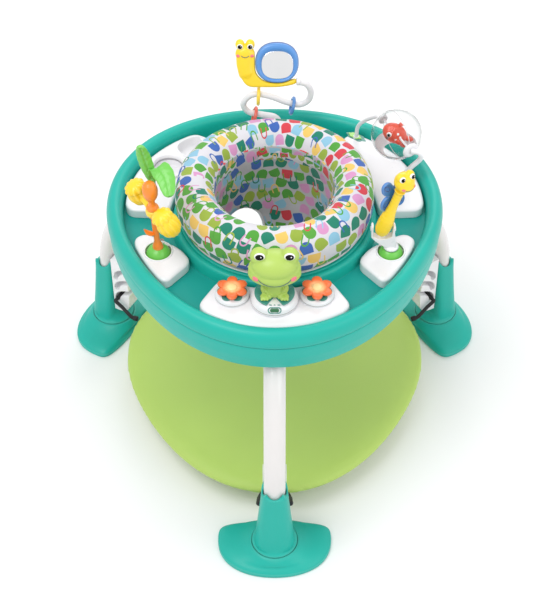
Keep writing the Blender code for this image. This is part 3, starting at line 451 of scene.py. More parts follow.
def plain_cloth(name, colour, roughness):
    made = Recipe(name, roughness, sheen_weight=0.2, sheen_roughness=0.4)
    cloud = made.noise(5, 5)
    made.link(made.mix(cloud, shade(colour, 0.90), shade(colour, 1.07)), "Base Color")
    made.link(made.math("MULTIPLY_ADD", made.noise(40, 4), 0.2, roughness - 0.1), "Roughness")
    made.bump(cloth_grain(made, 0.0014), 0.15, 0.0003)
    return made.material


def braided(name, colour):
    """Woven cover of an elastic cord."""
    made = Recipe(name, 0.75)
    wave = made.add("ShaderNodeTexWave", {"wave_type": "BANDS", "bands_direction": "DIAGONAL"},
                    Vector=made.place(), Scale=220.0, Distortion=1.0)
    made.link(made.mix(wave.outputs["Fac"], shade(colour, 0.6), shade(colour, 2.2)), "Base Color")
    made.bump(wave.outputs["Fac"], 0.6, 0.0006)
    return made.material


def glowing(name, inner, outer, radius):
    """A moulded flower, pale in its middle and deeper in colour outwards, about its object's origin."""
    made = Recipe(name, 0.32, coat_weight=0.4, coat_roughness=0.1)
    split = made.add("ShaderNodeSeparateXYZ", Vector=made.place()).outputs
    reach = made.math("SQRT", made.math("ADD", made.math("MULTIPLY", split[0], split[0]),
                                        made.math("MULTIPLY", split[1], split[1])))
    share = made.math("DIVIDE", reach, radius)
    colour = made.ramp(share, [(0.0, inner), (0.30, inner), (0.72, outer), (1.0, shade(outer, 0.85))])
    made.link(colour, "Base Color")
    made.link(colour, "Emission Color")
    made.shader.inputs["Emission Strength"].default_value = 0.12
    made.bump(made.noise(900, 2), 0.06, 0.0003)
    return made.material


def clear_plastic(name):
    """Nearly clear, with painted shade that makes it a little darker where the surface turns away."""
    made = Recipe(name, 0.0, transmission_weight=1.0, ior=1.10, coat_weight=0.15, coat_roughness=0.02)
    scuff = made.noise(45, 5)
    # Painted shade: the colour darkens towards the outline, where the surface faces away from the view.
    edge = made.math("POWER", made.add("ShaderNodeLayerWeight", Blend=0.5).outputs["Facing"], 3.5)
    clear = made.mix(scuff, (0.975, 0.985, 0.99), (1.0, 1.0, 1.0))
    made.link(made.mix(edge, clear, (0.28, 0.29, 0.27)), "Base Color")
    made.link(made.math("MULTIPLY", scuff, 0.010), "Roughness")
    return made.material


def mirror(name):
    made = Recipe(name, 0.06, metallic=1.0)
    haze = made.noise(25, 4)
    made.link(made.mix(haze, (0.90, 0.91, 0.92), (0.97, 0.975, 0.98)), "Base Color")
    made.link(made.math("MULTIPLY_ADD", haze, 0.08, 0.03), "Roughness")
    return made.material


def metal(name, colour):
    made = Recipe(name, 0.28, metallic=1.0)
    streak = made.noise(300, 3)
    made.link(made.mix(streak, shade(colour, 0.8), colour), "Base Color")
    made.bump(streak, 0.08, 0.0003)
    return made.material


TEAL = plastic("teal_plastic", (0.008, 0.425, 0.350), 0.44, 0.06, specular_ior_level=0.36)
SWITCH_GREEN = plastic("switch_green", (0.02, 0.145, 0.055), 0.40, 0.15)
# The trough's teal: the tray's own teal darkened, as painted shade in the recessed channel.
TROUGH_SHADE_TEAL = plastic("tray_trough_painted_shade", (0.007, 0.330, 0.290), 0.46, 0.04, specular_ior_level=0.30)
WHITE = plastic("white_plastic", (0.83, 0.82, 0.85), 0.30, 0.30, edge_highlight=0.15)
WHITE_SOFT = plastic("soft_white_plastic", (0.80, 0.79, 0.81), 0.42, 0.10, edge_highlight=0.15)
TUBE = plastic("tube_enamel", (0.73, 0.71, 0.70), 0.24, 0.6, edge_highlight=0.1, grain=0.03)
DARK = plastic("dark_seam_plastic", (0.035, 0.10, 0.09), 0.5, 0.0)
# Grey-brown for the console's seam grooves, and as painted shadow for the small tabs in the plates' edges.
SEAM_AND_SHADOW_GREY = plastic("seam_and_painted_shadow_plastic", (0.33, 0.28, 0.25), 0.5, 0.0)
DARK_TEAL = plastic("lily_plastic", (0.012, 0.235, 0.185), 0.38)
FROG = plastic("frog_plastic", (0.43, 0.60, 0.115), 0.42, 0.12)
CARROT = plastic("stalk_plastic", (0.90, 0.255, 0.022), 0.34)
LEAF = plastic("leaf_plastic", (0.155, 0.56, 0.075), 0.36)
LIME_LEAF = plastic("lime_leaf_plastic", (0.30, 0.66, 0.10), 0.36)
YELLOW = plastic("yellow_plastic", (0.96, 0.66, 0.022), 0.34)
BLUE = plastic("blue_plastic", (0.045, 0.215, 0.58), 0.30)
BLUE_DARK = plastic("dark_blue_plastic", (0.018, 0.085, 0.33), 0.35)
SHELL_BLUE = plastic("shell_plastic", (0.075, 0.27, 0.66), 0.32)
RED = plastic("red_plastic", (0.73, 0.075, 0.035), 0.32)
PINK = plastic("cheek_paint", (0.86, 0.20, 0.24), 0.45, 0.1)
BLACK = plastic("black_paint", (0.012, 0.012, 0.014), 0.22, 0.5, edge_highlight=0.0)
PUPIL = plastic("pupil_paint", (0.004, 0.004, 0.005), 0.55, 0.0, edge_highlight=0.0, specular_ior_level=0.12)
EYE_WHITE = plastic("eye_paint", (0.88, 0.88, 0.88), 0.25, 0.5, edge_highlight=0.0)
FLOWER = glowing("flower_plastic", (1.0, 0.66, 0.30), (0.88, 0.16, 0.035), 0.023)
BOARD = plastic("board_laminate", (0.02, 0.17, 0.06), 0.45, 0.2, edge_highlight=0.0)
CLEAR = clear_plastic("clear_plastic")
MIRROR = mirror("mirror_foil")
STEEL = metal("plated_steel", (0.60, 0.60, 0.62))
CORD = braided("cord_cover", (0.016, 0.016, 0.018))
PRINTED = printed_cloth("printed_cloth")
# The pocket's lining: the same printed cloth with its ground darkened, as painted shade deep inside the seat.
PRINTED_SHADED = printed_cloth("printed_seat_lining_painted_shade", 0.74)
PIPING = plain_cloth("piping_cloth", (0.74, 0.73, 0.79), 0.8)
LIME = plain_cloth("mat_cover", (0.43, 0.60, 0.125), 0.55)


# ------------------------------------------------------------------ camera, lights and floor

CAMERA_BACK, CAMERA_UP, CAMERA_DOWN = 2.0787, 2.4157, math.radians(45.88)
SENSOR = 36.0


def build_stage():
    camera = bpy.data.cameras.new("camera")
    camera.sensor_fit = "VERTICAL"
    camera.sensor_height = SENSOR
    camera.lens = 2.650 * SENSOR
    camera.shift_x = -0.0137
    holder = bpy.data.objects.new("camera", camera)
    holder.location = AXIS + Vector((0, -CAMERA_BACK, CAMERA_UP))
    holder.rotation_euler = (math.radians(90) - CAMERA_DOWN, 0, 0)
    bpy.context.scene.collection.objects.link(holder)
    bpy.context.scene.camera = holder

    bm = bmesh.new()
    bmesh.ops.create_grid(bm, x_segments=8, y_segments=8, size=9)
    mesh = bpy.data.meshes.new("floor")
    bm.to_mesh(mesh)
    bm.free()
    paper = Recipe("floor_paper", 0.9)
    paper.link(paper.mix(paper.noise(2, 3), (0.90, 0.90, 0.90), (0.93, 0.93, 0.93)), "Base Color")
    mesh.materials.append(paper.material)
    floor = bpy.data.objects.new("floor", mesh)
    floor.location = (0, 0, -0.0002)
    bpy.context.scene.collection.objects.link(floor)

    for name, place, size, power in (("key", (-1.1, -0.9, 2.9), 1.6, 34),
                                     ("fill", (1.9, -1.1, 1.9), 1.8, 14), ("rim", (0.5, 2.3, 2.1), 1.6,
            16)):
        light = bpy.data.lights.new(name, "AREA")
        light.size = size
        light.energy = power
        lamp = bpy.data.objects.new(name, light)
        lamp.location = place
        lamp.rotation_euler = (Vector(place) - Vector((0, 0.05, 0.35))).to_track_quat("Z", "Y").to_euler()
        bpy.context.scene.collection.objects.link(lamp)
    world = bpy.data.worlds.new("studio")
    bpy.context.scene.world = world
    world.use_nodes = True
    world.node_tree.nodes["Background"].inputs["Color"].default_value = (1, 1, 1, 1)
    world.node_tree.nodes["Background"].inputs["Strength"].default_value = 0.86
    bpy.context.scene.view_settings.view_transform = "Standard"


# ------------------------------------------------------------------ tray


def build_tray():
    crest = soften([(TRAY_R - 0.0006, SEAM_Z + 0.0004, 1), (TRAY_R + 0.0006, 0.4720, 1),
                    (TRAY_R + 0.0005, 0.4800, 1), (0.3010, 0.4915, 1), (0.2950, 0.4985, 1),
                    (0.2865, CREST_Z + 0.0003, 1), (0.2795, 0.4968, 1), (0.2755, 0.4900, 1),
                    (0.2738, 0.4800, 1), (0.2730, TROUGH_Z, 1), (0.1850, TROUGH_Z, 0), (0.1838, 0.4790, 0),
                    (0.1812, 0.4885, 0), (0.1755, 0.4908, 0), (0.1700, 0.4890, 0), (0.1690, 0.4700, 0),
                    (0.1720, 0.4700, 0), (0.1795, 0.4630, 0), (0.2765, 0.4630, 1), (0.2820, 0.4935, 1),
                    (0.2955, 0.4900, 1), (TRAY_R - 0.003, SEAM_Z, 1)], 0.006)
    piece("tray_rim", lobed(crest), TEAL, "frame", ["tray_top"], "shell_teal")
    floor = soften([(0.1856, TROUGH_Z - 0.0004, 0), (0.1856, TROUGH_Z + 0.0012, 0),
                    (0.1862, TROUGH_Z + 0.0003, 0), (0.2712, TROUGH_Z + 0.0003, 1),
                    (0.2718, TROUGH_Z + 0.0012, 1), (0.2718, TROUGH_Z - 0.0004, 1)], 0.0006)
    # The trough's floor takes the darker teal: painted shade.
    piece("tray_trough", lobed(floor), TROUGH_SHADE_TEAL, "frame", slot="shell_teal")
    # The skirt under the seam, with its floor, the battery door's frame and a socket for each leg
    skirt = soften([(TRAY_R - 0.0030, SEAM_Z - 0.0008, 1), (TRAY_R - 0.0010, SEAM_Z - 0.0014, 1),
                    (TRAY_R - 0.0008, 0.4600, 1), (TRAY_R - 0.0022, 0.4400, 1), (0.2972, 0.4200, 1),
                    (0.2940, SKIRT_Z, 1), (0.2890, SKIRT_Z, 1), (0.2915, 0.4290, 1), (0.1785, 0.4300, 0),
                    (0.1780, 0.4610, 0), (0.1812, 0.4610, 0), (0.1812, 0.4335, 0), (0.2955, 0.4335, 1),
                    (TRAY_R - 0.006, SEAM_Z - 0.001, 1)], 0.004)
    bm = lobed(skirt)
    for azimuth in LEGS.values():
        path = tube_path(azimuth, 0.006)
        swept([path[-11], path[-5], path[-1]], 0.0245, 40, flat=0.84, wide=local(azimuth, 0, 1, 0), bm=bm)
    for k in range(6):  # ribs under the floor, between the legs
        azimuth = k * 60
        rib = [(0.186, 0.4302), (0.284, 0.4302), (0.284, 0.4165), (0.186, 0.4215)]
        skin([[local(azimuth, r, t, z) for r, z in rib] for t in (-0.0012, 0.0012)], bm=bm)
    piece("tray_skirt", bm, TEAL, "frame", ["tray_base"], "shell_teal")
    low_corner, high_corner = low("battery_door"), high("battery_door")
    plan = soften(rectangle(low_corner, high_corner), 0.005)
    z = low_corner.z
    edge = ((0.0, z + 0.003), (0.0, z + 0.0002), (0.0008, z - 0.0006), (0.004, z - 0.0006), (0.0045, z - 0.0001))
    bm = skin([[(p.x, p.y, h) for p in inset(plan, d)] for d, h in edge])
    screw = Vector(((low_corner.x + high_corner.x) / 2, low_corner.y + 0.006, z - 0.0006))
    turned(screw, [(0.0030, 0.0004), (0.0030, -0.0008), (0.0022, -0.0011), (0.0003, -0.0011)], 24, bm=bm)
    piece("battery_lid", bm, TEAL, "frame", ["battery_door"], "shell_teal")


# ------------------------------------------------------------------ seat


def blow_up(obj, voxel, pressure, cap, frames=20):
    """Cloth under pressure, as a stuffed cover: the simulated mesh replaces the object's own."""
    material = obj.data.materials[0]
    remesh = obj.modifiers.new("remesh", "REMESH")
    remesh.mode = "VOXEL"
    remesh.voxel_size = voxel
    scene = bpy.context.scene
    scene.frame_set(1)
    start = bpy.data.meshes.new_from_object(obj.evaluated_get(bpy.context.evaluated_depsgraph_get()))
    obj.modifiers.clear()
    obj.data = start
    cloth = obj.modifiers.new("cloth", "CLOTH")
    cloth.settings.effector_weights.gravity = 0
    for key, value in (("use_pressure", True), ("uniform_pressure_force", pressure), ("mass", 0.3),
                       ("quality", 4), ("tension_stiffness", 12), ("compression_stiffness", 12),
                       ("bending_stiffness", 0.4)):
        setattr(cloth.settings, key, value)
    cloth.collision_settings.use_collision = False
    cloth.point_cache.frame_start = 1
    cloth.point_cache.frame_end = frames
    for number in range(1, frames + 1):
        scene.frame_set(number)
    blown = bpy.data.meshes.new_from_object(obj.evaluated_get(bpy.context.evaluated_depsgraph_get()))
    for before, after in zip(start.vertices, blown.vertices):
        way = after.co - before.co
        if way.length > cap:
            after.co = before.co + way * (cap / way.length)
    blown.materials.clear()
    blown.materials.append(material)
    obj.modifiers.clear()
    obj.data = blown
    scene.frame_set(1)


def subdivide(obj):
    obj.data.shade_smooth()
    smooth = obj.modifiers.new("smooth", "SUBSURF")
    smooth.levels = smooth.render_levels = 1


def thicken(obj, thickness):
    """A wall that grows inwards from the surface."""
    wall = obj.modifiers.new("wall", "SOLIDIFY")
    wall.thickness = thickness
    wall.offset = -1


def ripple(obj, height, size, seed):
    """Soft unevenness of stuffed cloth: points move along their normals by a smooth noise."""
    mesh = obj.data
    normals = [v.normal.copy() for v in mesh.vertices]
    for v, normal in zip(mesh.vertices, normals):
        v.co += normal * height * noise.noise(v.co / size + Vector((seed, 0, 0)))


def rim_section(steps=48):
    """The padded rim's section: a full outer side that comes down to the tray, an inner side that runs
    into the pocket."""
    made = []
    for c, s in angles(steps):
        full = (0.95 if c > 0 else 1.10) if s > 0 else (0.62 if c > 0 else 0.84)
        made.append(Vector((DONUT_R + signed_power(c, full) * 0.0350,
                            DONUT_Z + 0.0004 + signed_power(s, full) * 0.0420)))
    return made


def near(angle, other):
    """The angle, with whole turns added that bring it nearest to the other."""
    return angle + TURN * round((other - angle) / TURN)


def unwrap(obj, cells_round, up):
    """UVs in printed cells: round the seat, and up(point, its face's centre) the other way."""
    mesh = obj.data
    uv = mesh.uv_layers[0] if mesh.uv_layers else mesh.uv_layers.new(name="UVMap")
    for face in mesh.polygons:
        around = math.atan2(face.center.y, face.center.x)
        for loop in face.loop_indices:
            p = mesh.vertices[mesh.loops[loop].vertex_index].co
            uv.data[loop].uv = (near(math.atan2(p.y, p.x), around) / TURN * cells_round, up(p, face.center))


def map_ring(obj, cells_round, cell):
    """UVs of the padded rim, which run along its section's length from its lowest point."""
    section = rim_section(96)
    middle = sum(section, Vector((0, 0))) / len(section)
    start = min(range(96), key=lambda i: abs(section[i].x - middle.x) + (section[i].y > middle.y))
    section = section[start:] + section[:start + 1]
    marks, total = [], 0.0
    for a, b in zip(section, section[1:] + section[:1]):
        marks.append((math.atan2(a.y - middle.y, a.x - middle.x) % TURN, total))
        total += (b - a).length
    first = marks[0][0]
    table = sorted(((angle - first) % TURN, run) for angle, run in marks[:-1]) + [(TURN, marks[-1][1])]

    def run_at(angle):
        turns, angle = divmod(angle - first, TURN)
        for (a0, r0), (a1, r1) in zip(table, table[1:]):
            if angle <= a1:
                return turns * table[-1][1] + r0 + (r1 - r0) * (angle - a0) / (a1 - a0)
        return table[-1][1]

    def side(p):
        return math.atan2(p.z - middle.y, math.hypot(p.x, p.y) - middle.x)

    unwrap(obj, cells_round, lambda p, centre: run_at(near(side(p), side(centre))) / cell)


def build_donut():
    donut = piece("seat_padding", turned((0, 0, 0), rim_section(), 180, closed=True), PRINTED, "seat",
                  ["seat_donut"], "seat_fabric", crisp=False)
    blow_up(donut, 0.005, 4.0, 0.0020)
    ripple(donut, 0.0016, 0.035, 3.0)
    ripple(donut, 0.0006, 0.012, 9.0)
    map_ring(donut, 40, 0.0250)
    subdivide(donut)


def build_sling():
    outside = curve_through([(0.0015, 0.3140), (0.030, 0.3155), (0.070, 0.3215), (0.0975, 0.3420),
                             (0.1125, 0.3730), (0.1160, 0.4060), (0.1172, 0.4400), (0.1160, 0.4720),
                             (0.1138, 0.5000), (0.1112, 0.5240), (0.1098, 0.5400), (0.1104, 0.5520)], 6)
    steps = 160
    bm = bmesh.new()
    loops = [[bm.verts.new(Vector((c, s, 0)) * p[0] + UP * p[1]) for c, s in angles(steps)]
             for p in outside]
    holes = []
    for side in (-1, 1):
        out = polar(1, SLING_FRONT + side * LEG_HOLE_SPREAD)
        aim = (out + Vector((0, 0, -0.35))).normalized()
        holes.append((out * 0.070 + UP * 0.378, aim, out))

    def to_hole(p, start, aim):
        """The point's foot on the hole's axis, and the way from there, or None behind the hole."""
        along = (p - start).dot(aim)
        return (start + aim * along, p - start - aim * along) if along > 0 else None

    for a, b in zip(loops, loops[1:]):
        for i in range(steps):
            j = (i + 1) % steps
            corners = (a[i], a[j], b[j], b[i])
            centre = sum((v.co for v in corners), Vector()) / 4
            found = [to_hole(centre, start, aim) for start, aim, _ in holes]
            if not any(f and f[1].length < LEG_HOLE_R - 0.0013 for f in found):
                bm.faces.new(corners)
    bmesh.ops.delete(bm, geom=[v for v in bm.verts if not v.link_faces], context="VERTS")
    for v in bm.verts:  # the cut edge is drawn onto the hole's round outline
        if v.is_boundary and v.co.z < 0.46 and v.co.xy.length > 0.04:
            for start, aim, _ in holes:
                found = to_hole(v.co, start, aim)
                if found and found[1].length < LEG_HOLE_R + 0.006:
                    v.co = found[0] + found[1].normalized() * LEG_HOLE_R
    sling = piece("seat_pocket", bm, PRINTED_SHADED, "seat", ["seat_sling"], "seat_fabric", crisp=False)
    unwrap(sling, 30, lambda p, _: (p.z + max(0.0, 0.09 - math.hypot(p.x, p.y))) / 0.0262)
    ripple(sling, 0.0022, 0.030, 5.0)
    thicken(sling, 0.0026)
    for name, (start, aim, out) in zip(("leg_binding_right", "leg_binding_left"), holes):
        ring = []
        side = Vector((-out.y, out.x, 0))
        for c, s in angles(64):
            p = start + (side * c + aim.cross(side) * s) * LEG_HOLE_R
            for _ in range(30):  # slides along the hole's axis until it meets the pocket's wall
                wall = 0.1125 + (p.z - 0.373) * (0.11 if p.z > 0.373 else 0.484)
                p = p + aim * (wall - p.xy.length)
            ring.append(p)
        piece(name, swept(ring, 0.0026, 10, closed=True), PIPING, "seat", slot="seat_fabric", crisp=False)


def build_seat():
    build_donut()
    build_sling()
    ring = soften([(0.1562, 0.4905), (0.1562, 0.4952), (0.1640, 0.4952), (0.1662, 0.4945), (0.1666, 0.4922),
                   (0.1664, 0.4912), (0.1662, 0.4800), (0.1662, 0.4285), (0.1748, 0.4285), (0.1748, 0.4255),
                   (0.1612, 0.4255)], 0.0022)
    bm = turned((0, 0, 0), ring, 160, closed=True)
    for k in range(12):  # tabs that hold the pocket's edge
        turned(polar(0.1640, 15 + 30 * k, 0.4255), [(0.0028, 0), (0.0028, -0.0016), (0.0018, -0.0022),
                                                    (0.0003, -0.0022)], 16, bm=bm)
    piece("seat_swivel_ring", bm, WHITE, "seat", ["seat_ring"], "white_plastic")
    trim = soften([(0.1666, 0.4945), (0.1722, 0.4940), (0.1722, 0.4880), (0.1682, 0.4700), (0.1676, 0.4320),
                   (0.1666, 0.4320)], 0.0016)
    piece("seat_trim", turned((0, 0, 0), trim, 160, closed=True), TEAL, "seat", slot="shell_teal")


# ------------------------------------------------------------------ legs, mat and cords


def tube_path(azimuth, extra=0.0):
    """The leg tube's centre line: upright in the pedestal, bowed inwards, then straight into the tray."""
    points = [(TUBE_R, 0.115 + 0.055 * k / 10) for k in range(10)]
    for k in range(33):
        a = math.radians(BOW_ANGLE * k / 32)
        points.append((TUBE_R - BOW_R + BOW_R * math.cos(a), BOW_Z + BOW_R * math.sin(a)))
    a = math.radians(BOW_ANGLE)
    r, z = points[-1]
    run = (TUBE_TOP_Z - z) / math.cos(a) + extra
    points += [(r - run * math.sin(a) * k / 24, z + run * math.cos(a) * k / 24) for k in range(1, 25)]
    return [local(azimuth, r, 0, z) for r, z in points]


def foot_outline(azimuth, scale, z, steps=120):
    ring = []
    for c, s in angles(steps):
        power, depth = (0.85, 0.084) if c > 0 else (0.42, 0.0375)
        u, v = signed_power(c, power) * depth, signed_power(s, 0.95 if c > 0 else 0.75) * 0.106
        ring.append(local(azimuth, FOOT_R + u * scale, v * scale, z))
    for _ in range(14):  # round off the corners
        ring = [(a + b * 2 + c) / 4 for a, b, c in zip(ring[-1:] + ring[:-1], ring, ring[1:] + ring[:1])]
    return ring


def collar(azimuth, radius, z, steps=120):
    centre = local(azimuth, PEDESTAL_R, 0, z)
    return [centre + polar(radius, azimuth + 360 * i / steps) for i in range(steps)]


def build_foot(side, azimuth):
    rings = [foot_outline(azimuth, s, z) for s, z in ((0.80, 0.0012), (0.955, 0.0012), (0.965, 0.0),
                                                      (0.985, 0.0), (0.996, 0.0010), (1.0, 0.0028),
                                                      (1.001, 0.0050), (0.9975, 0.0069), (0.990, 0.0082),
                                                      (0.982, 0.0084), (0.976, 0.0083), (0.968, 0.0091),
                                                      (0.945, 0.0110), (0.905, 0.0132), (0.860, 0.0150))]
    for k, (radius, z) in enumerate(((0.066, 0.0195), (0.0585, 0.0225), (0.0525, 0.0256),
                                     (0.0478, 0.0290))):
        blend = foot_outline(azimuth, 0.80 - 0.06 * k, 0.0170)
        share = (0.30, 0.62, 0.88, 1.0)[k]
        rings.append([p.lerp(q, share) for p, q in zip(blend, collar(azimuth, radius, z))])
    rings += [collar(azimuth, r, z) for r, z in ((0.0455, 0.0301), (0.0434, 0.0307), (0.0426, 0.0303),
                                                 (0.0422, 0.0285), (0.0422, 0.0245))]
    piece(f"foot_shell_{side}", skin(rings), TEAL, "frame", [f"foot_{side}"], "shell_teal")


def taper_at(z):
    """Share of the pedestal's size at a height: it narrows smoothly up to the tube's width."""
    t = min(1.0, max(0.0, (z - 0.050) / 0.150))
    return 1.03 - 0.31 * t ** 1.15


def column(azimuth, grow, heights, steps=120):
    """A ring of the pedestal's section, grown by that much, at heights(cosine, sine)."""
    centre, deep = (COLUMN_IN + COLUMN_OUT) / 2, (COLUMN_OUT - COLUMN_IN) / 2
    ring = []
    for c, s in angles(steps):
        u, v = signed_power(c, 0.75 if c > 0 else 0.45) * deep, signed_power(s, 0.6) * COLUMN_HALF
        z = heights(c, s)
        share = taper_at(z)
        u = u * share if u > 0 else u
        r = centre + u + (grow * (u + deep) / (2 * deep) if u > -deep * 0.9 else 0)
        ring.append(local(azimuth, r, v * share * (1 + grow / COLUMN_HALF), z))
    return ring


def mouth(c, s, drop):
    """The pedestal's upper edge: low in the middle of each face, high at the corners and inside."""
    x, y = abs(c) ** 0.75, abs(s) ** 0.6
    corner = min(x, y) / max(x, y)
    return 0.1765 + 0.0115 * corner ** 2.2 + 0.006 * max(0.0, -c) - drop


def build_pedestal(side, azimuth):
    rings = [collar(azimuth, r, z) for r, z in ((0.0408, 0.0247), (COLLAR_R, 0.0252), (COLLAR_R, 0.0320),
                                                (COLLAR_R - 0.0008, 0.0336), (COLLAR_R - 0.0026, 0.0346))]
    base = column(azimuth, 0.0045, lambda c, s: 0.046)
    for share, z in ((0.25, 0.0365), (0.60, 0.0395), (0.88, 0.0435)):
        rings.append([p.lerp(q, share).xy.to_3d() + UP * z for p,
                      q in zip(collar(azimuth, COLLAR_R - 0.004, z), base)])
    rings.append(column(azimuth, 0.0042, lambda c, s: 0.048))
    for grow, z in ((0.0036, 0.054), (0.0026, 0.075), (0.0015, 0.100), (0.0007, 0.125), (0.0003, 0.145),
                    (0.0, 0.158)):
        rings.append(column(azimuth, grow, lambda c, s, z=z: z))
    for grow, drop in ((0.0000, 0.012), (0.0002, 0.0045), (0.0000, 0.0018), (-0.0006, 0.0004),
                       (-0.0014, 0.0)):
        rings.append(column(azimuth, grow, lambda c, s, drop=drop: mouth(c, s, drop)))
    # Over the edge and down round the tube
    for share, drop in ((0.45, 0.0004), (0.85, 0.0020), (1.0, 0.0060), (1.0, 0.0200)):
        ring = []
        outer = column(azimuth, -0.0014, lambda c, s, drop=drop: mouth(c, s, drop))
        for p, (c, s) in zip(outer, angles(120)):
            z = mouth(c, s, drop)
            lean = BOW_R - math.sqrt(BOW_R**2 - max(0.0, z - BOW_Z) ** 2)
            ring.append(p.lerp(local(azimuth, TUBE_R + 0.0172 * c - lean, 0.0202 * s, z), share))
        rings.append(ring)
    piece(f"pedestal_shell_{side}", skin(rings), TEAL, "frame", [f"pedestal_{side}"], "shell_teal")


def slot_plan(z):
    half = CORD_R + 0.0014
    spine = curve_through([(SLOT_R, z), (SLOT_R - 0.004, z + 0.012), (SLOT_R - 0.017, z + 0.022),
                           (SLOT_R - 0.040, z + 0.031)], 5)
    left, right = [], []
    for i, p in enumerate(spine):
        along = (spine[min(i + 1, len(spine) - 1)] - spine[max(i - 1, 0)]).normalized()
        side = Vector((-along.y, along.x)) * half
        left.append(p + side)
        right.append(p - side)
    away = (spine[0] - spine[1]).normalized()
    side = Vector((-away.y, away.x))
    end = [spine[0] + (away * math.sin(a) + side * math.cos(a)) * half
           for a in (math.pi * k / 10 for k in range(1, 10))]
    return right[::-1] + end + left  # in at the mouth's lower side, round the end, out along its upper side


def build_hook_block(side, azimuth):
    """A white block with three hook slots, open towards the mat, cut through it sideways."""
    outer = COLUMN_IN - 0.0003
    inner_face = [(0.0700, 0.3430), (0.0800, 0.3345), (0.1000, 0.3305), (0.1400, 0.3308), (0.1720, 0.3362),
                  (0.1900, 0.3420), (0.1990, 0.3465), (0.2060, 0.3560)]

    def face_at(z):
        for (z0, r0), (z1, r1) in zip(inner_face, inner_face[1:]):
            if z <= z1:
                return r0 + (r1 - r0) * max(0.0, z - z0) / (z1 - z0)
        return inner_face[-1][1]

    # and down the inner face
    face = [(outer, 0.2060), (0.3560, 0.2060), (0.3500, 0.2030), (0.3465, 0.1990)]
    for z in reversed(SLOT_ZS):
        plan = [p for p in slot_plan(z) if p.x > face_at(p.y) + 0.0004]
        face += [(face_at(plan[0].y + 0.001), plan[0].y + 0.001), *[(p.x, p.y) for p in plan],
                 (face_at(plan[-1].y - 0.001), plan[-1].y - 0.001)]
        below = plan[-1].y - 0.011
        face.append((face_at(below), below))
    face += [(0.3330, 0.0850), (0.3360, 0.0770), (0.3420, 0.0700), (0.3520, 0.0655), (outer, 0.0640)]
    bm = bmesh.new()
    front = [bm.verts.new(local(azimuth, r, -0.0212, z)) for r, z in face]
    bm.faces.new(front)
    grown = bmesh.ops.extrude_face_region(bm, geom=bm.faces[:])
    moved = [g for g in grown["geom"] if isinstance(g, bmesh.types.BMVert)]
    bmesh.ops.translate(bm, verts=moved, vec=local(azimuth, 0, 0.0424, 0))
    block = piece(f"hook_rack_{side}", bm, WHITE, "frame", [f"hook_block_{side}"], "white_plastic",
                  crisp=False)
    edge = block.modifiers.new("edges", "BEVEL")
    edge.width = 0.0011
    edge.segments = 3
    edge.limit_method = "ANGLE"
    edge.angle_limit = math.radians(50)
    block.modifiers.new("weighted", "WEIGHTED_NORMAL")


def build_bungee(side, azimuth):
    z = SLOT_ZS[0]
    tip = MAT_R + MAT_LOBE + 0.0015
    half = [(tip - 0.004, 0.0235, 0.0642), (tip + 0.006, 0.0270, 0.0668), (0.3270, 0.0290, 0.0725),
            (0.3450, 0.0295, 0.0885), (SLOT_R - 0.0015, 0.0300, z - 0.0007), (SLOT_R, 0.0262, z),
            (SLOT_R, 0.0180, z)]
    points = half + [(SLOT_R, 0.0, z)] + [(r, -t, h) for r, t, h in reversed(half)]
    path = curve_through([local(azimuth, *p) for p in points], 8)
    bm = swept(path, CORD_R * 0.95, 14)
    for t in (-1, 1):  # crimped ends at the mat
        a, b = local(azimuth, tip - 0.0035, t * 0.0232, 0.0641), local(azimuth, tip + 0.0065, t * 0.0268,
                0.0666)
        turned(a, [(0.0030, 0), (0.0052, 0.0008), (0.0052, 0.0085), (0.0042, (b - a).length)], 20, b - a,
               bm=bm)
    cord = piece(f"elastic_{side}", bm, CORD, None, [f"bungee_{side}"], "cord", crisp=False)
    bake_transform(cord)


def build_leg(side, azimuth):
    build_foot(side, azimuth)
    build_pedestal(side, azimuth)
    bm = swept(tube_path(azimuth), 0.0195, 48, flat=0.0165 / 0.0195, wide=local(azimuth, 0, 1, 0))
    piece(f"bowed_tube_{side}", bm, TUBE, "frame", [f"leg_tube_{side}"], "tube_white")
    build_hook_block(side, azimuth)
    build_bungee(side, azimuth)


def mat_reach(theta):
    return MAT_R + MAT_LOBE * lobe(theta)


def mat_outline(share, z, steps=240):
    thetas = [TURN * i / steps for i in range(steps)]
    return [Vector((math.cos(a), math.sin(a), 0)) * mat_reach(a) * share + UP * z for a in thetas]


def build_mat():
    profile = [(0.30, MAT_BOTTOM + 0.0005), (0.70, MAT_BOTTOM + 0.0003), (0.93, MAT_BOTTOM + 0.0003),
               (0.972, MAT_BOTTOM + 0.0022), (0.990, 0.0595), (0.997, 0.0640), (0.990, 0.0690),
               (0.970, 0.0728), (0.935, MAT_TOP - 0.0004), (0.88, MAT_TOP), (0.80, MAT_TOP - 0.0014),
               (0.70, MAT_TOP - 0.0040), (0.55, MAT_TOP - 0.0085), (0.38, MAT_TOP - 0.0120),
               (0.20, MAT_TOP - 0.0138), (0.05, MAT_TOP - 0.0142)]
    rings = [mat_outline(share, z) for share, z in curve_through([(s, z) for s, z in profile], 3)]
    mat = piece("bounce_pad", skin(rings), LIME, "mat", ["bounce_mat"], "mat_fabric", crisp=False)
    blow_up(mat, 0.006, 3.0, 0.0022)
    for v in mat.data.vertices:  # soft radial pulls in the cover, strongest near its edge
        a = math.atan2(v.co.y, v.co.x)
        share = math.hypot(v.co.x, v.co.y) / mat_reach(a)
        if v.co.z > 0.064:
            edge = max(0.0, 1 - abs(share - 0.93) / 0.10)
            v.co.z += 0.0007 * edge * noise.noise(Vector((a * 16, share * 3, 1.0)))
            v.co.z += 0.0011 * noise.noise(Vector((v.co.x / 0.10, v.co.y / 0.10, 4.0)))
    subdivide(mat)


def build_legs():
    for side, azimuth in LEGS.items():
        build_leg(side, azimuth)
    build_mat()


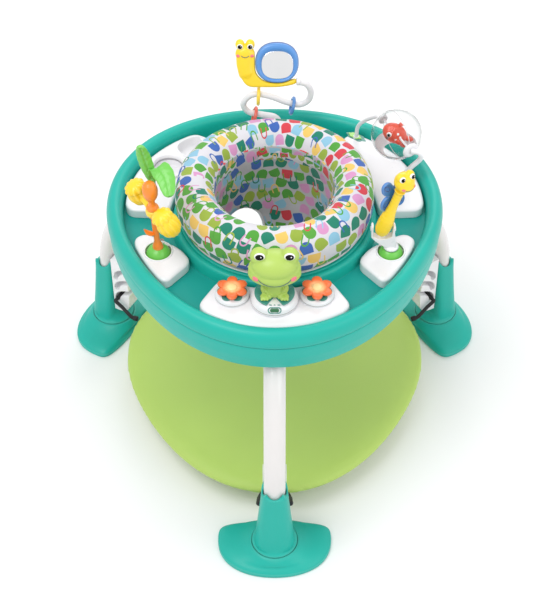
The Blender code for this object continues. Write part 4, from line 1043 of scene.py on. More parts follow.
# ------------------------------------------------------------------ small shapes for the stations and toys


def tile_point(azimuth, u, v, z):
    theta = math.radians(azimuth) + u / TILE_RADIUS
    share = (v - TILE_IN) / (TILE_OUT - TILE_IN)
    reach = v * (1 + TRAY_LOBE * share * lobe(theta))
    return Vector((reach * math.cos(theta), reach * math.sin(theta), z))


def plane(centre, x_way, y_way):
    """Places points of a flat drawing: x and y in the plane, the height out of it."""
    x_way, y_way = Vector(x_way).normalized(), Vector(y_way).normalized()
    out = x_way.cross(y_way)
    return lambda p, h: Vector(centre) + x_way * p[0] + y_way * p[1] + out * h


def anticlockwise(outline):
    flat = [Vector(p[:2]) for p in outline]
    if sum(a.x * b.y - b.x * a.y for a, b in zip(flat, flat[1:] + flat[:1])) < 0:
        flat.reverse()
    return flat


def slab(outline, place, profile, bm=None):
    """A plate of a closed outline. The profile gives (inset, height) from one face round to the other."""
    flat = anticlockwise(outline)
    return skin([[place(p, h) for p in inset(flat, d)] for d, h in profile], bm=bm)


def oval(half_x, half_y, steps, power=1.0, centre=(0, 0)):
    return [Vector((centre[0] + signed_power(c, power) * half_x,
                    centre[1] + signed_power(s, power) * half_y)) for c, s in angles(steps)]


def pill(half_long, half_wide, steps=10, centre=(0, 0)):
    made = []
    for side, start in ((1, -0.25), (-1, 0.25)):
        for k in range(steps + 1):
            a = TURN * (start + 0.5 * k / steps)
            made.append(Vector((centre[0] + side * (half_long - half_wide) + half_wide * math.cos(a),
                                centre[1] + half_wide * math.sin(a))))
    return made


def rounded_profile(half, edge, steps=4):
    """(inset, height) of a plate with both edges rounded."""
    turn = [(1 - math.sin(math.pi / 2 * k / steps), 1 - math.cos(math.pi / 2 * k / steps))
            for k in range(steps + 1)]
    return [(edge * a, edge * b - half) for a, b in turn] + [(edge * b, half - edge * a) for a, b in turn]


def spot(centre, normal, wide, tall, thick, bm=None):
    """A flattened ball lying on a surface: eyes, pupils, cheeks and dots."""
    normal = Vector(normal).normalized()
    side = UP.cross(normal).normalized()
    turn = Matrix((side, normal, normal.cross(side))).transposed()
    return ball(centre, (wide, thick, tall), 28, 14, turn, bm)


def on_ball(centre, half, way):
    """Where a direction leaves an ellipsoid, and the surface's normal there."""
    way = Vector(way).normalized()
    reach = 1 / math.sqrt(sum((w / h) ** 2 for w, h in zip(way, half)))
    return Vector(centre) + way * reach, Vector([w * reach / h**2 for w, h in zip(way, half)]).normalized()


def tilted(tilt, facing):
    """A direction: degrees above the horizon, and sideways from the front."""
    up, side = math.radians(tilt), math.radians(facing)
    return Vector((math.sin(side) * math.cos(up), -math.cos(side) * math.cos(up), math.sin(up)))


def spread(steps):
    """Equal steps from -1 to 1."""
    return [2 * k / steps - 1 for k in range(steps + 1)]


def paint_line(name, path, radius, body, ends=0.08):
    piece(name, swept(path, radius, 8, taper=round_ends(ends)), DARK, body, crisp=False)


def eye(name, centre, radius, way, body, flat=1.0, pupil=0.44):
    """A white eye with a black pupil and a glint, in a bump of that radius, flat times as tall as wide."""
    way = Vector(way).normalized()
    aside = Vector((radius * 0.16, 0, radius * 0.14 * flat))
    for label, material, size, tall, out, thick, shift in (
        ("white", EYE_WHITE, 0.60, flat, 0.68, 0.42, 0), ("pupil", PUPIL, pupil, flat, 0.88, 0.26, 0),
        ("glint", EYE_WHITE, 0.07, 1, 1.115, 0.05, 1),
    ):
        at = Vector(centre) + way * radius * out + aside * shift
        piece(f"{name}_{label}", spot(at, way, radius * size, radius * size * tall, radius * thick),
              material, body, crisp=False)


def torus(centre, axis, mean, thick, bm=None, steps=64):
    section = [(mean + thick * math.cos(TURN * k / 14), thick * math.sin(TURN * k / 14)) for k in range(14)]
    return turned(centre, section, steps, axis, closed=True, bm=bm)


# ------------------------------------------------------------------ stations on the tray


def plate(name, azimuth, corners, node, wells=()):
    """A white station plate. Each well is a list of rings that goes down from the plate's face."""
    outline = filled(soften(corners, 0.022, steps=8), 0.006)
    flat = anticlockwise([p for i, p in enumerate(outline) if (p - outline[i - 1]).length > 1e-6])
    top = TILE_TOP
    levels = [(0.0012, TROUGH_Z + 0.0002), (0.0002, TROUGH_Z + 0.0012), (0.0, TROUGH_Z + 0.0030),
              (0.0, top - 0.0052), (0.0005, top - 0.0034), (0.0016, top - 0.0019), (0.0034, top - 0.0008),
              (0.0060, top - 0.0001), (0.0085, top)]
    rings = [[tile_point(azimuth, p.x, p.y, z) for p in inset(flat, d)] for d, z in levels]
    bm = skin(rings, caps=False)
    bm.verts.ensure_lookup_table()
    count = len(flat)
    bm.faces.new([bm.verts[i] for i in range(count)])
    rims = [[bm.verts[len(bm.verts) - count + i] for i in range(count)]]
    for well in wells:
        skin(well, caps=False, bm=bm)
        bm.verts.ensure_lookup_table()
        n, first = len(well[0]), len(bm.verts) - len(well[0]) * len(well)
        bm.faces.new([bm.verts[i] for i in range(len(bm.verts) - n, len(bm.verts))])
        rims.append([bm.verts[first + i] for i in range(n)])
    # The face between the plate's edge and its wells
    verts = [v for rim in rims for v in rim]
    number = {v: i for i, v in enumerate(verts)}
    edges = [(number[a], number[b]) for rim in rims for a, b in zip(rim, rim[1:] + rim[:1])]
    points, _, faces, origin, _, _ = delaunay_2d_cdt([v.co.xy for v in verts], edges, [], 1, 1e-7)
    level = verts[0].co.z
    points = [verts[o[0]] if o else bm.verts.new((*p, level)) for p, o in zip(points, origin)]
    for face in faces:
        corners = [points[i] for i in face]
        centre = sum((v.co for v in corners), Vector()) / len(corners)
        if not any(encloses(rim, centre) for rim in rims[1:]):
            bm.faces.new(corners)
    piece(name, bm, WHITE, "frame", [node], "white_plastic")


def encloses(rim, point):
    """Whether a closed loop of vertices goes round a point, seen from above."""
    inside = False
    for a, b in zip(rim, rim[1:] + rim[:1]):
        if (a.co.y > point.y) != (b.co.y > point.y):
            if point.x < a.co.x + (b.co.x - a.co.x) * (point.y - a.co.y) / (b.co.y - a.co.y):
                inside = not inside
    return inside


def well_of(centre, profile):
    return [circle(Vector((centre.x, centre.y, z)), r, 64) for r, z in profile]


def sector(half):
    return [(-half, TILE_IN), (half, TILE_IN), (half, TILE_OUT), (-half, TILE_OUT)]


def shadow_tab(name, azimuth, u, v):
    """A small dark tab in a plate's edge: painted shadow, put where the plate's side falls into shade."""
    at = tile_point(azimuth, u, v, TILE_TOP)
    along = (tile_point(azimuth, u + 0.001, v, TILE_TOP) - at).normalized()
    place = plane(at, along, UP.cross(along))
    piece(name, slab(pill(0.0068, 0.0032), place, [(0.0004, -0.004), (0, -0.0005), (0, 0.0004),
                                                   (0.0005, 0.0007), (0.0012, 0.0006), (0.0015, -0.0010)]),
          SEAM_AND_SHADOW_GREY, "frame", slot="white_plastic")


def build_tiles():
    z = TILE_TOP
    hole = [(HOLE_R + 0.0004, z), (HOLE_R, z - 0.0006), (HOLE_R, z - 0.0100)]
    stalk_plate = [(-0.002, 0.188), (0.050, 0.188), (0.062, 0.2695), (-0.052, 0.2695), (-0.063, 0.236)]
    plate("station_left", -152.3, stalk_plate, "stalk_base", [well_of(STALK_AT, hole)])
    plate("station_right", -27.7, [(-u, v) for u, v in stalk_plate], "dragonfly_base",
          [well_of(DRAGON_AT, hole)])
    plate("station_globe", 30.0, sector(0.112), "globe_base")
    plate("station_loop", 90.0, sector(0.056), "loop_base")
    cup_at = polar(0.2340, 147.5)
    cup = [(0.0290, z), (0.0272, z - 0.0030), (0.0265, z - 0.0060), (0.0250, z - 0.0150),
           (0.0225, z - 0.0172)]
    flat = soften([(-0.028, 0.204), (0.028, 0.204), (0.028, 0.259), (-0.028, 0.259)], 0.024, steps=8)
    tray = [[tile_point(129.5, p.x, p.y, z - drop) for p in inset(flat, d)] for d, drop in
            ((0.0, 0.0), (0.0006, 0.0012), (0.0022, 0.0100), (0.0040, 0.0150), (0.0075, 0.0172))]
    plate("station_snack", 150.0, sector(0.112), "snack_tray", [well_of(cup_at, cup), tray])
    bm = turned(cup_at, [(0.0262, z - 0.004), (0.0290, z + 0.0002), (0.0300, z + 0.0026),
                         (0.0316, z + 0.0036), (0.0334, z + 0.0030), (0.0345, z + 0.0004),
                         (0.0345, z - 0.002)], 80, closed=True)
    rim = [[tile_point(129.5, p.x, p.y, z + h) for p in inset(flat, d)] for d,
           h in ((0.0006, -0.004), (0.0002, 0.0004), (-0.0006, 0.0016), (-0.0022, 0.0018),
                 (-0.0038, 0.0002), (-0.0040, -0.002))]
    skin(rim, closed=True, bm=bm)
    piece("snack_rims", bm, WHITE, "frame", slot="white_plastic")
    for side, at in (("left", STALK_AT), ("right", DRAGON_AT)):  # collars round the two ball joints
        profile = [(HOLE_R - 0.0002, z - 0.003), (HOLE_R - 0.0002, z + 0.0008),
                   (HOLE_R + 0.0006, z + 0.0015), (HOLE_R + 0.0020, z + 0.0015),
                   (HOLE_R + 0.0030, z + 0.0002), (HOLE_R + 0.0030, z - 0.002)]
        piece(f"ball_collar_{side}", turned(at, profile, 80, closed=True), WHITE, "frame",
              slot="white_plastic")
    # Dark tabs in the plates' edges: painted shadow.
    shadow_tab("shadow_tab_left", -152.3, -0.030, 0.214)
    shadow_tab("shadow_tab_right", -27.7, 0.030, 0.214)
    shadow_tab("shadow_tab_globe", 30.0, 0.0300, 0.1965)


def build_console():
    plate("console_plate", -90.0, sector(0.120), "console_base")
    bm, seam = bmesh.new(), bmesh.new()
    frog_dome = [(0.0412, 0.484), (0.0412, 0.4905), (0.0405, 0.4912), (0.0405, 0.4920), (0.0409, 0.4926),
                 (0.0396, 0.4968), (0.0374, 0.5000), (0.0340, 0.5027), (0.0300, 0.5047), (0.0255, DOME_TOP),
                 (0.0100, 0.5062)]
    flower_dome = [(0.0302, 0.484), (0.0302, 0.4888), (0.0296, 0.4893), (0.0296, 0.4899), (0.0299, 0.4904),
                   (0.0288, 0.4932), (0.0266, 0.4953), (0.0238, 0.4967), (0.0205, 0.4974), (0.0168, 0.4976),
                   (0.0156, 0.4968), (0.0155, 0.4930), (0.0150, 0.4880)]
    flowers = {label: Vector((side * FLOWER_AT.x, FLOWER_AT.y, 0)) for side, label in SIDES}
    groove = ((-0.0004, -0.0003), (0.0002, -0.0003), (0.0002, 0.0003), (-0.0004, 0.0003))
    for centre, profile, r, z in ((CONSOLE_AT, frog_dome, 0.0408, 0.4916),
                                  (flowers["left"], flower_dome, 0.0299, 0.4896),
                                  (flowers["right"], flower_dome, 0.0299, 0.4896)):
        turned(centre, profile, 96, bm=bm)
        turned(centre, [(r + x, z + y) for x, y in groove], 96, closed=True, bm=seam)
    for mesh in (bm, seam):  # nothing reaches over the tray's inner lip
        for v in mesh.verts:
            reach = v.co.xy.length
            if reach < CONSOLE_CLEAR:
                v.co.xy *= CONSOLE_CLEAR / reach
    piece("console_domes", bm, WHITE, "frame", slot="white_plastic")
    piece("console_seams", seam, SEAM_AND_SHADOW_GREY, "frame", slot="white_plastic")
    # The switch on the middle dome's front
    out = Vector((0, -0.74, 0.67)).normalized()
    place = plane((0, -0.2544, 0.4995), (1, 0, 0), out.cross(Vector((1, 0, 0))))
    bm = slab(pill(0.0118, 0.0056), place, [(0, -0.004), (0, 0.0002), (0.0004, 0.0008), (0.0014, 0.0009),
                                            (0.0022, 0.0002), (0.0026, -0.0030)])
    piece("switch_bezel", bm, DARK_TEAL, "frame", slot="black")
    bm = slab(pill(0.0080, 0.0036), place, [(0.0, -0.0041), (0.0, 0.0008), (0.0006, 0.0016),
                                            (0.0018, 0.0020), (0.0030, 0.0018)])
    piece("switch_knob", bm, SWITCH_GREEN, "switch", ["mode_switch"], "leaf_green")
    bm = bmesh.new()
    for k in (-1, 0, 1):  # three marks for the switch's places
        slab(pill(0.0016 + 0.0007 * abs(k), 0.0008, 5, (0.0072 * k, 0.0092)), place,
             [(0, -0.0015), (0, 0.0002), (0.0002, 0.0003)], bm=bm)
    piece("switch_marks", bm, DARK_TEAL, "frame", slot="black")
    for label, at in flowers.items():
        build_flower(label, at)
    build_frog()


def petal_rings(at, levels, mean, deep, turn, pinch):
    """A six-lobed plate from (share of its size, height)."""
    rings = []
    for share, z in levels:
        rings.append([at + UP * z + Vector((math.cos(a), math.sin(a), 0)) * share
                      * (mean + deep * abs(math.cos(3 * a + turn)) ** pinch)
                      for a in (TURN * i / 180 for i in range(180))])
    return skin(rings)


def build_flower(side, at):
    levels = ((0.48, -0.0029), (0.90, -0.0025), (0.975, -0.0014), (1.0, 0.0002), (0.985, 0.0014),
              (0.93, 0.0024), (0.82, 0.0030), (0.66, 0.0030), (0.50, 0.0022), (0.40, 0.0016))
    bm = petal_rings(at, [(share * 1.02, PETALS_Z + h) for share, h in levels], 0.0182, 0.0092, math.pi / 2,
                     0.85)
    heart = ((0.0092, 0.0006), (0.0090, 0.0024), (0.0078, 0.0036), (0.0050, 0.0044), (0.0004, 0.0047))
    turned(at, [(r, PETALS_Z + h) for r, h in heart], 48, bm=bm)
    turned(at, [(0.0143, 0.4914), (0.0143, PETALS_Z - 0.0024)], 48, bm=bm)
    piece(f"flower_{side}_petals", bm, FLOWER, f"flower_{side}", [f"flower_button_{side}"], "orange",
          origin=at)
    levels = ((0.60, 0.4967), (0.98, 0.4968), (1.0, 0.4974), (0.97, 0.4981), (0.60, 0.4983))
    piece(f"flower_{side}_leaves", petal_rings(at, levels, 0.0180, 0.0082, 0.0, 0.72), DARK_TEAL, "frame",
          slot="dark_teal")


def build_frog():
    at = CONSOLE_AT
    notch, radius = math.radians(24), 0.0345
    sweep = (1.5 * math.pi + notch + (TURN - 2 * notch) * k / 72 for k in range(73))
    plan = [Vector((math.cos(a), math.sin(a))) * radius for a in sweep] + [Vector((0, -radius * 0.30))]
    place = plane(at + UP * DOME_TOP, (1, 0, 0), (0, 1, 0))
    bm = slab(soften(plan, 0.0014, steps=2), place,
              [(0.0005, 0), (0.0, 0.0006), (0.0, 0.0013), (0.0006, 0.0021), (0.0016, 0.0024)])
    for k in range(9):
        a = 1.5 * math.pi + notch * 1.6 + (TURN - 3.2 * notch) * k / 8
        way = Vector((math.cos(a), math.sin(a), 0))
        swept([at + UP * 0.5082 + way * r for r in (0.022, 0.0275, 0.0325)], 0.0006, 8,
              taper=round_ends(0.3), bm=bm)
    piece("lily_pad", bm, DARK_TEAL, "frame", ["lily_pads"], "dark_teal")
    bm = turned(at, [(0.0150, 0.5082), (0.0166, 0.5105), (0.0172, 0.5140), (0.0165, 0.5190),
                     (0.0148, 0.5240), (0.0125, 0.5290), (0.0110, 0.5335), (0.0104, 0.5345)], 48)
    for side in (-1, 1):
        ball(at + Vector((side * 0.0155, 0.000, 0.5165)), (0.0085, 0.0125, 0.0085), 32, 18, bm=bm)  # thighs
        ball(at + Vector((side * 0.0170, -0.0150, 0.5118)), (0.0075, 0.0080, 0.0036), 32, 14, bm=bm)  # feet
        for k in (-1, 0, 1):
            ball(at + Vector((side * 0.0170 + k * 0.0048, -0.0205, 0.5108)), (0.0024, 0.0042, 0.0022), 20,
                 12, bm=bm)
        # hands
        ball(at + Vector((side * 0.0085, -0.0165, 0.5135)), (0.0042, 0.0050, 0.0052), 24, 14, bm=bm)
        arm = ((0.0125, -0.004, 0.528), (0.0150, -0.011, 0.521), (0.0100, -0.0165, 0.5145))
        swept([at + Vector((side * x, y, z)) for x, y, z in arm], 0.0042, 16, taper=round_ends(0.2), bm=bm)
    blob("frog_torso", bm, FROG, "frame", 0.0009, 5, replaces=["frog_body"], slot="frog_lime")
    coil = [at + Vector((0.0066 * math.cos(t), 0.0066 * math.sin(t), 0.5335 + 0.0145 * t / (TURN * 4)))
            for t in (TURN * 4 * k / 128 for k in range(129))]
    piece("frog_coil", swept(coil, 0.0009, 8), STEEL, "frame", ["frog_spring"], "steel")
    # The head: broad, with two raised eyes
    bm = ball(FROG_AT, FROG_HEAD, 56, 32)
    snout, snout_half = FROG_AT + Vector((0, -0.0160, -0.0045)), (0.0300, 0.0185, 0.0160)
    ball(FROG_AT + Vector((0, -0.003, -0.006)), (0.0452, 0.0300, 0.0195), 56, 24, bm=bm)
    ball(snout, snout_half, 48, 24, bm=bm)
    ball(FROG_AT + Vector((0, -0.0030, 0.0110)), (0.0395, 0.0300, 0.0262), 48, 24, bm=bm)
    for side in (-1, 1):
        ball(FROG_AT + Vector((side * 0.0255, -0.0010, 0.0290)), (0.0158, 0.0145, 0.0172), 40, 24, bm=bm)
    turned(at, [(0.0125, 0.534), (0.0125, 0.5445)], 32, bm=bm)
    blob("frog_face", bm, FROG, "frog", 0.0013, 7, replaces=["frog_head"], slot="frog_lime")
    for side, label in SIDES:
        eye(f"frog_eye_{label}", FROG_AT + Vector((side * 0.0245, -0.0016, 0.0335)), 0.0155,
            tilted(24, side * 2), "frog", 0.70, 0.48)
        cheek, normal = on_ball(FROG_AT + Vector((0, -0.003, -0.005)), (0.0440, 0.0300, 0.0200),
                                tilted(4, side * 58))
        piece(f"frog_cheek_{label}", spot(cheek, normal, 0.0062, 0.0042, 0.0009), PINK, "frog", crisp=False)
        nostril, normal = on_ball(snout, snout_half, tilted(42, side * 11))
        piece(f"frog_nostril_{label}", spot(nostril, normal, 0.0013, 0.0010, 0.0004), BLACK, "frog",
              crisp=False)
    jaw = FROG_AT + Vector((0, -0.0090, -0.0050))
    paint_line("frog_mouth", [on_ball(jaw, (0.0385, 0.0252, 0.0185), tilted(-14 + 26 * t * t, 66 * t))[0]
                              for t in spread(16)], 0.0008, "frog")


# ------------------------------------------------------------------ the stalk toy

STALK_FOOT = STALK_AT + UP * TOY_FOOT_Z


def blade(path, half_wide, half_thick, ribs, bm, wide=(1, 0, 0)):
    """A leaf along a path, thick in its middle, with veins that run out and up to its edge."""
    path = curve_through(path, 14)
    rings = []
    for i, p in enumerate(path):
        t = i / (len(path) - 1)
        ahead = (path[min(i + 1, len(path) - 1)] - path[max(i - 1, 0)]).normalized()
        side = Vector(wide)
        side = (side - ahead * ahead.dot(side)).normalized()
        out = ahead.cross(side)
        grow = max(0.10, 0.20 + 0.80 * math.sin(math.pi * min(1.0, 0.90 * t + 0.05)) ** 0.62)
        if t > 0.94:
            grow *= math.sqrt(max(0.02, 1 - ((t - 0.94) / 0.065) ** 2))
        ring = []
        for x, y in angles(36):
            vein = 0.5 + 0.5 * math.cos(TURN * (t * ribs - abs(x) * 0.9))
            groove = 0.45 + 0.55 * min(1.0, abs(x) / 0.16)
            thick = half_thick * (abs(y) ** 0.8) * (0.72 + 0.28 * vein) * groove
            scallop = 1 + 0.018 * math.cos(TURN * (t * ribs - 0.9))
            ring.append(p + side * x * half_wide * grow * scallop + out * math.copysign(thick, y))
        rings.append(ring)
    skin(rings, bm=bm)


def ruffled(centre, half_wide, half_tall, deep, bm, lean):
    phis = [math.pi * (0.03 + 0.94 * k / 22) for k in range(23)]
    turned(centre, [(half_wide * math.sin(phi), -half_tall * math.cos(phi)) for phi in phis], 96, lean,
           bm=bm, wave=lambda a, s: 1 + deep * math.cos(11 * a) * math.sin(math.pi * s))


def build_stalk():
    for name, at, body, node in (("stalk_ball", STALK_AT, "stalk_toy", "stalk_dome"),
                                 ("dragon_ball", DRAGON_AT, "dragonfly_stand", "dragonfly_dome")):
        piece(name, ball(at + UP * BALL_Z, (BALL_R,) * 3, 72, 40), LEAF, body, [node], "leaf_green")
    outline = curve_through([(0.0098, -0.0030), (0.0086, 0.0035), (0.0060, 0.0110), (0.0053, 0.0200),
                             (0.0053, 0.0620), (0.0062, 0.0690), (0.0088, 0.0735), (0.0090, 0.0780),
                             (0.0060, 0.0786), (0.0051, 0.0800), (0.0051, 0.0905), (0.0070, 0.0917),
                             (0.0105, 0.0922), (0.0106, 0.0955), (0.0080, 0.0985), (0.0062, 0.1010),
                             (0.0060, 0.1100), (0.0088, 0.1150), (0.0114, 0.1205), (0.0130, 0.1280),
                             (0.0133, 0.1350), (0.0122, 0.1420), (0.0096, 0.1475), (0.0060, 0.1510),
                             (0.0010, 0.1522)], 4)
    profile = [(p.x + (0.00035 * math.sin(p.y * 1500) if p.y > 0.108 else 0), p.y) for p in outline]
    piece("stalk_carrot", turned(STALK_FOOT, profile, 64, STALK_AXIS), CARROT, "stalk_toy", ["stalk"],
          "carrot")
    # Two leaflets on the stalk
    for label, side, height in (("low", -1, 0.030), ("high", 1, 0.044)):
        root = STALK_FOOT + STALK_AXIS * height
        spine = ((0.0, 0.0, 0.0), (0.0075, -0.004, 0.0035), (0.0155, -0.0065, 0.0100), (0.0200, -0.0075, 0.0175))
        rings = []
        dense = curve_through([root + Vector((side * x, y, z)) for x, y, z in spine], 8)
        for i, p in enumerate(dense):
            t = i / (len(dense) - 1)
            k = math.sin(math.pi * min(1, 0.90 * t + 0.08)) ** 0.7
            rings.append([p + Vector((0, math.cos(TURN * j / 20), 0)) * 0.0064 * k
                          + Vector((-side * 0.4, 0, 0.9)) * math.sin(TURN * j / 20) * 0.0020 * k
                          for j in range(20)])
        piece(f"leaflet_{label}", skin(rings), CARROT, "stalk_toy", slot="carrot")
    # The spinner: a hub with two ruffled lobes
    hub = STALK_FOOT + STALK_AXIS * 0.08495
    bm = turned(hub, [(0.0062, -0.0060), (0.0108, -0.0061), (0.0122, -0.0048), (0.0126, -0.0016),
                      (0.0119, -0.0006), (0.0119, 0.0006), (0.0126, 0.0016), (0.0122, 0.0046),
                      (0.0108, 0.0058), (0.0062, 0.0060)], 64, STALK_AXIS, closed=True)
    way = Vector((-0.56, 0.83, 0)).normalized()
    lobes = bmesh.new()
    for side in (-1, 1):
        at = hub + way * 0.049 * side + UP * 0.009
        lean = Vector((-0.42, -0.10, 0.90)).normalized()
        ruffled(at - lean * 0.0040, 0.0192, 0.0262, 0.085, lobes, lean)
        ruffled(at + lean * 0.0150 - way * side * 0.004, 0.0182, 0.0112, 0.10, lobes, lean)
        swept([hub + way * side * 0.0095, hub + way * side * 0.020 + UP * 0.002, at], 0.0055, 20, bm=lobes)
    piece("spinner_hub", bm, YELLOW, "spinner", slot="yellow")
    blob("spinner_lobes", lobes, YELLOW, "spinner", 0.0012, 2, replaces=["stalk_spinner"], slot="yellow")
    neck = STALK_FOOT + STALK_AXIS * 0.1020
    bm = swept(curve_through([neck + Vector((0.0004, 0.0062, 0)), neck + Vector((0.002, 0.0130, 0.006)),
                              Vector((-0.2062, -0.0790, 0.6260)), Vector((-0.2075, -0.0775, 0.640))], 8),
               0.0036, 20)
    blade([(-0.2080, -0.0770, 0.632), (-0.2145, -0.0790, 0.665), (-0.2195, -0.0870, 0.700),
           (-0.2222, -0.0980, 0.7290)], 0.0122, 0.0034, 7, bm)
    blade([(-0.2078, -0.0770, 0.6440), (-0.1980, -0.0780, 0.6620), (-0.1845, -0.0930, 0.6560),
           (-0.1765, -0.1210, 0.6360)], 0.0175, 0.0030, 8, bm, wide=(0.92, 0.30, 0.24))
    piece("stalk_leaf_pair", bm, LEAF, "stalk_toy", ["stalk_leaves"], "leaf_green")


# ------------------------------------------------------------------ the dragonfly

FORK_AT = Vector((0.1870, -0.0985, 0.5400))
DRAGON_AXIS = (Vector((0.2190, -0.0985, 0.6511)) - FORK_AT).normalized()
DRAGON_FACE = Vector((0.5, -0.866, 0))
DRAGON_SIDE = Vector((0.866, 0.5, 0))
DRAGON_HEAD = FORK_AT + DRAGON_AXIS * 0.1156


def build_dragonfly():
    foot = TOY_FOOT_Z - FORK_AT.z
    fork = [(-0.0190, 0.0094), (-0.0190, -0.0137), (-0.0098, -0.0246), (0.0088, foot), (0.0256, foot),
            (0.0251, -0.0238), (0.0221, -0.0118), (0.0221, 0.0094), (0.0186, 0.0094), (0.0169, -0.0122),
            (0.0062, -0.0179), (-0.0062, -0.0179), (-0.0154, -0.0122), (-0.0156, 0.0094)]
    bm = slab(soften(fork, 0.0018), plane(FORK_AT, (1, 0, 0), (0, 0, 1)), rounded_profile(0.0072, 0.0012))
    for x in (-0.0173, 0.0204):  # the prongs' round tips
        ball(FORK_AT + Vector((x, 0, 0.0090)), (0.0024, 0.0078, 0.0030), 32, 18, bm=bm)
    for x, side in ((-0.0190, -1), (0.0221, 1)):
        turned(FORK_AT + Vector((x - side * 0.0010, 0, 0.0020)),
               [(0.0044, 0), (0.0048, 0.0012), (0.0040, 0.0024), (0.0010, 0.0026)], 32, (side, 0, 0), bm=bm)
    turned(DRAGON_AT, [(0.0135, 0.4970), (0.0132, 0.5000), (0.0105, 0.5018), (0.0080, 0.5040)], 48, bm=bm)
    piece("dragon_fork", bm, WHITE, "dragonfly_stand", ["dragonfly_clip"], "white_plastic")
    outline = curve_through([(0.0012, -0.0112), (0.0060, -0.0104), (0.0106, -0.0070), (0.0134, 0.0040),
                             (0.0129, 0.0250), (0.0098, 0.0428), (0.0078, 0.0600), (0.0078, 0.0860),
                             (0.0100, 0.0940)], 8)
    profile = [(p.x + 0.0007 * (abs(math.sin(p.y * 430)) ** 0.6 - 0.6) * min(1, max(0, p.y + 0.006) / 0.01),
                p.y) for p in outline]
    bm = turned(FORK_AT, profile, 56, DRAGON_AXIS)

    def face_at(x, out, z):
        return DRAGON_HEAD + DRAGON_SIDE * x + DRAGON_FACE * out + UP * z

    turn = Matrix((DRAGON_SIDE, -DRAGON_FACE, UP)).transposed()
    ball(DRAGON_HEAD, (0.0184, 0.0172, 0.0172), 56, 30, turn, bm)
    ball(face_at(0, 0.0050, -0.0040), (0.0164, 0.0140, 0.0115), 40, 24, turn, bm)
    for side in (-1, 1):
        ball(face_at(side * 0.0088, 0.0010, 0.0118), (0.0086, 0.0082, 0.0092), 32, 18, turn, bm)
    blob("dragon_body", bm, YELLOW, "dragonfly", 0.0008, 3, replaces=["dragonfly_body"], slot="yellow")
    for side, label in SIDES:
        way = (DRAGON_FACE + DRAGON_SIDE * side * 0.16 + UP * 0.30).normalized()
        eye(f"dragon_eye_{label}", face_at(side * 0.0086, 0.0018, 0.0112), 0.0092, way, "dragonfly")
        cheek, normal = on_ball(Vector(), (0.0166, 0.0142, 0.0117), (side * 0.72, -0.66, 0.02))
        piece(f"dragon_cheek_{label}", spot(face_at(0, 0.0050, -0.0040) + turn @ cheek, turn @ normal,
                                            0.0033, 0.0026, 0.0007), PINK, "dragonfly", crisp=False)
    ways = [(math.sin(0.62 * t), -math.cos(0.62 * t), -0.30 + 0.24 * t * t) for t in spread(16)]
    line = [on_ball(Vector(), (0.0165, 0.0141, 0.0116), way)[0] for way in ways]
    paint_line("dragon_mouth", [face_at(0, 0.0050, -0.0040) + turn @ p for p in line], 0.0006, "dragonfly")
    # Four wings in one plate behind the body, each hollowed inside a raised rim
    centre = FORK_AT + DRAGON_AXIS * 0.0765
    place = plane(centre - DRAGON_FACE * 0.0116, DRAGON_SIDE, UP)  # its heights run towards the face's side
    outline = []
    for i in range(160):
        a = TURN * i / 160
        reach = 0.0098 + 0.0203 * abs(math.sin(2 * a)) ** 0.8
        outline.append(Vector((math.cos(a), 1.30 * math.sin(a))) * reach)
    bm = slab(outline, place, [(0.0020, -0.0027), (0.0006, -0.0024), (0.0, -0.0012), (0.0, 0.0010),
                               (0.0006, 0.0024), (0.0016, 0.0029), (0.0026, 0.0024), (0.0032, 0.0010)])
    piece("dragon_wings", bm, BLUE, "dragonfly", ["dragonfly_wings"], "blue")
    bm = bmesh.new()
    for k in range(4):
        a = math.radians(45 + 90 * k)
        hub = Vector((math.cos(a), 1.30 * math.sin(a))) * 0.0190
        spin = Matrix.Rotation(math.atan2(hub.y, hub.x), 2)
        slab([hub + spin @ p for p in oval(0.0076, 0.0046, 36)], place,
             [(0.0, 0.0008), (0.0, 0.0017), (0.0006, 0.0021), (0.0012, 0.0017), (0.0014, 0.0008)], bm=bm)
    piece("dragon_wing_panels", bm, BLUE_DARK, "dragonfly", slot="blue")


# ------------------------------------------------------------------ the globe

GLOBE_AT, GLOBE_R = Vector((0.2213, 0.115, 0.575)), 0.0466
GLOBE_AXIS = Vector((0.45916, -0.88837, 0)).normalized()


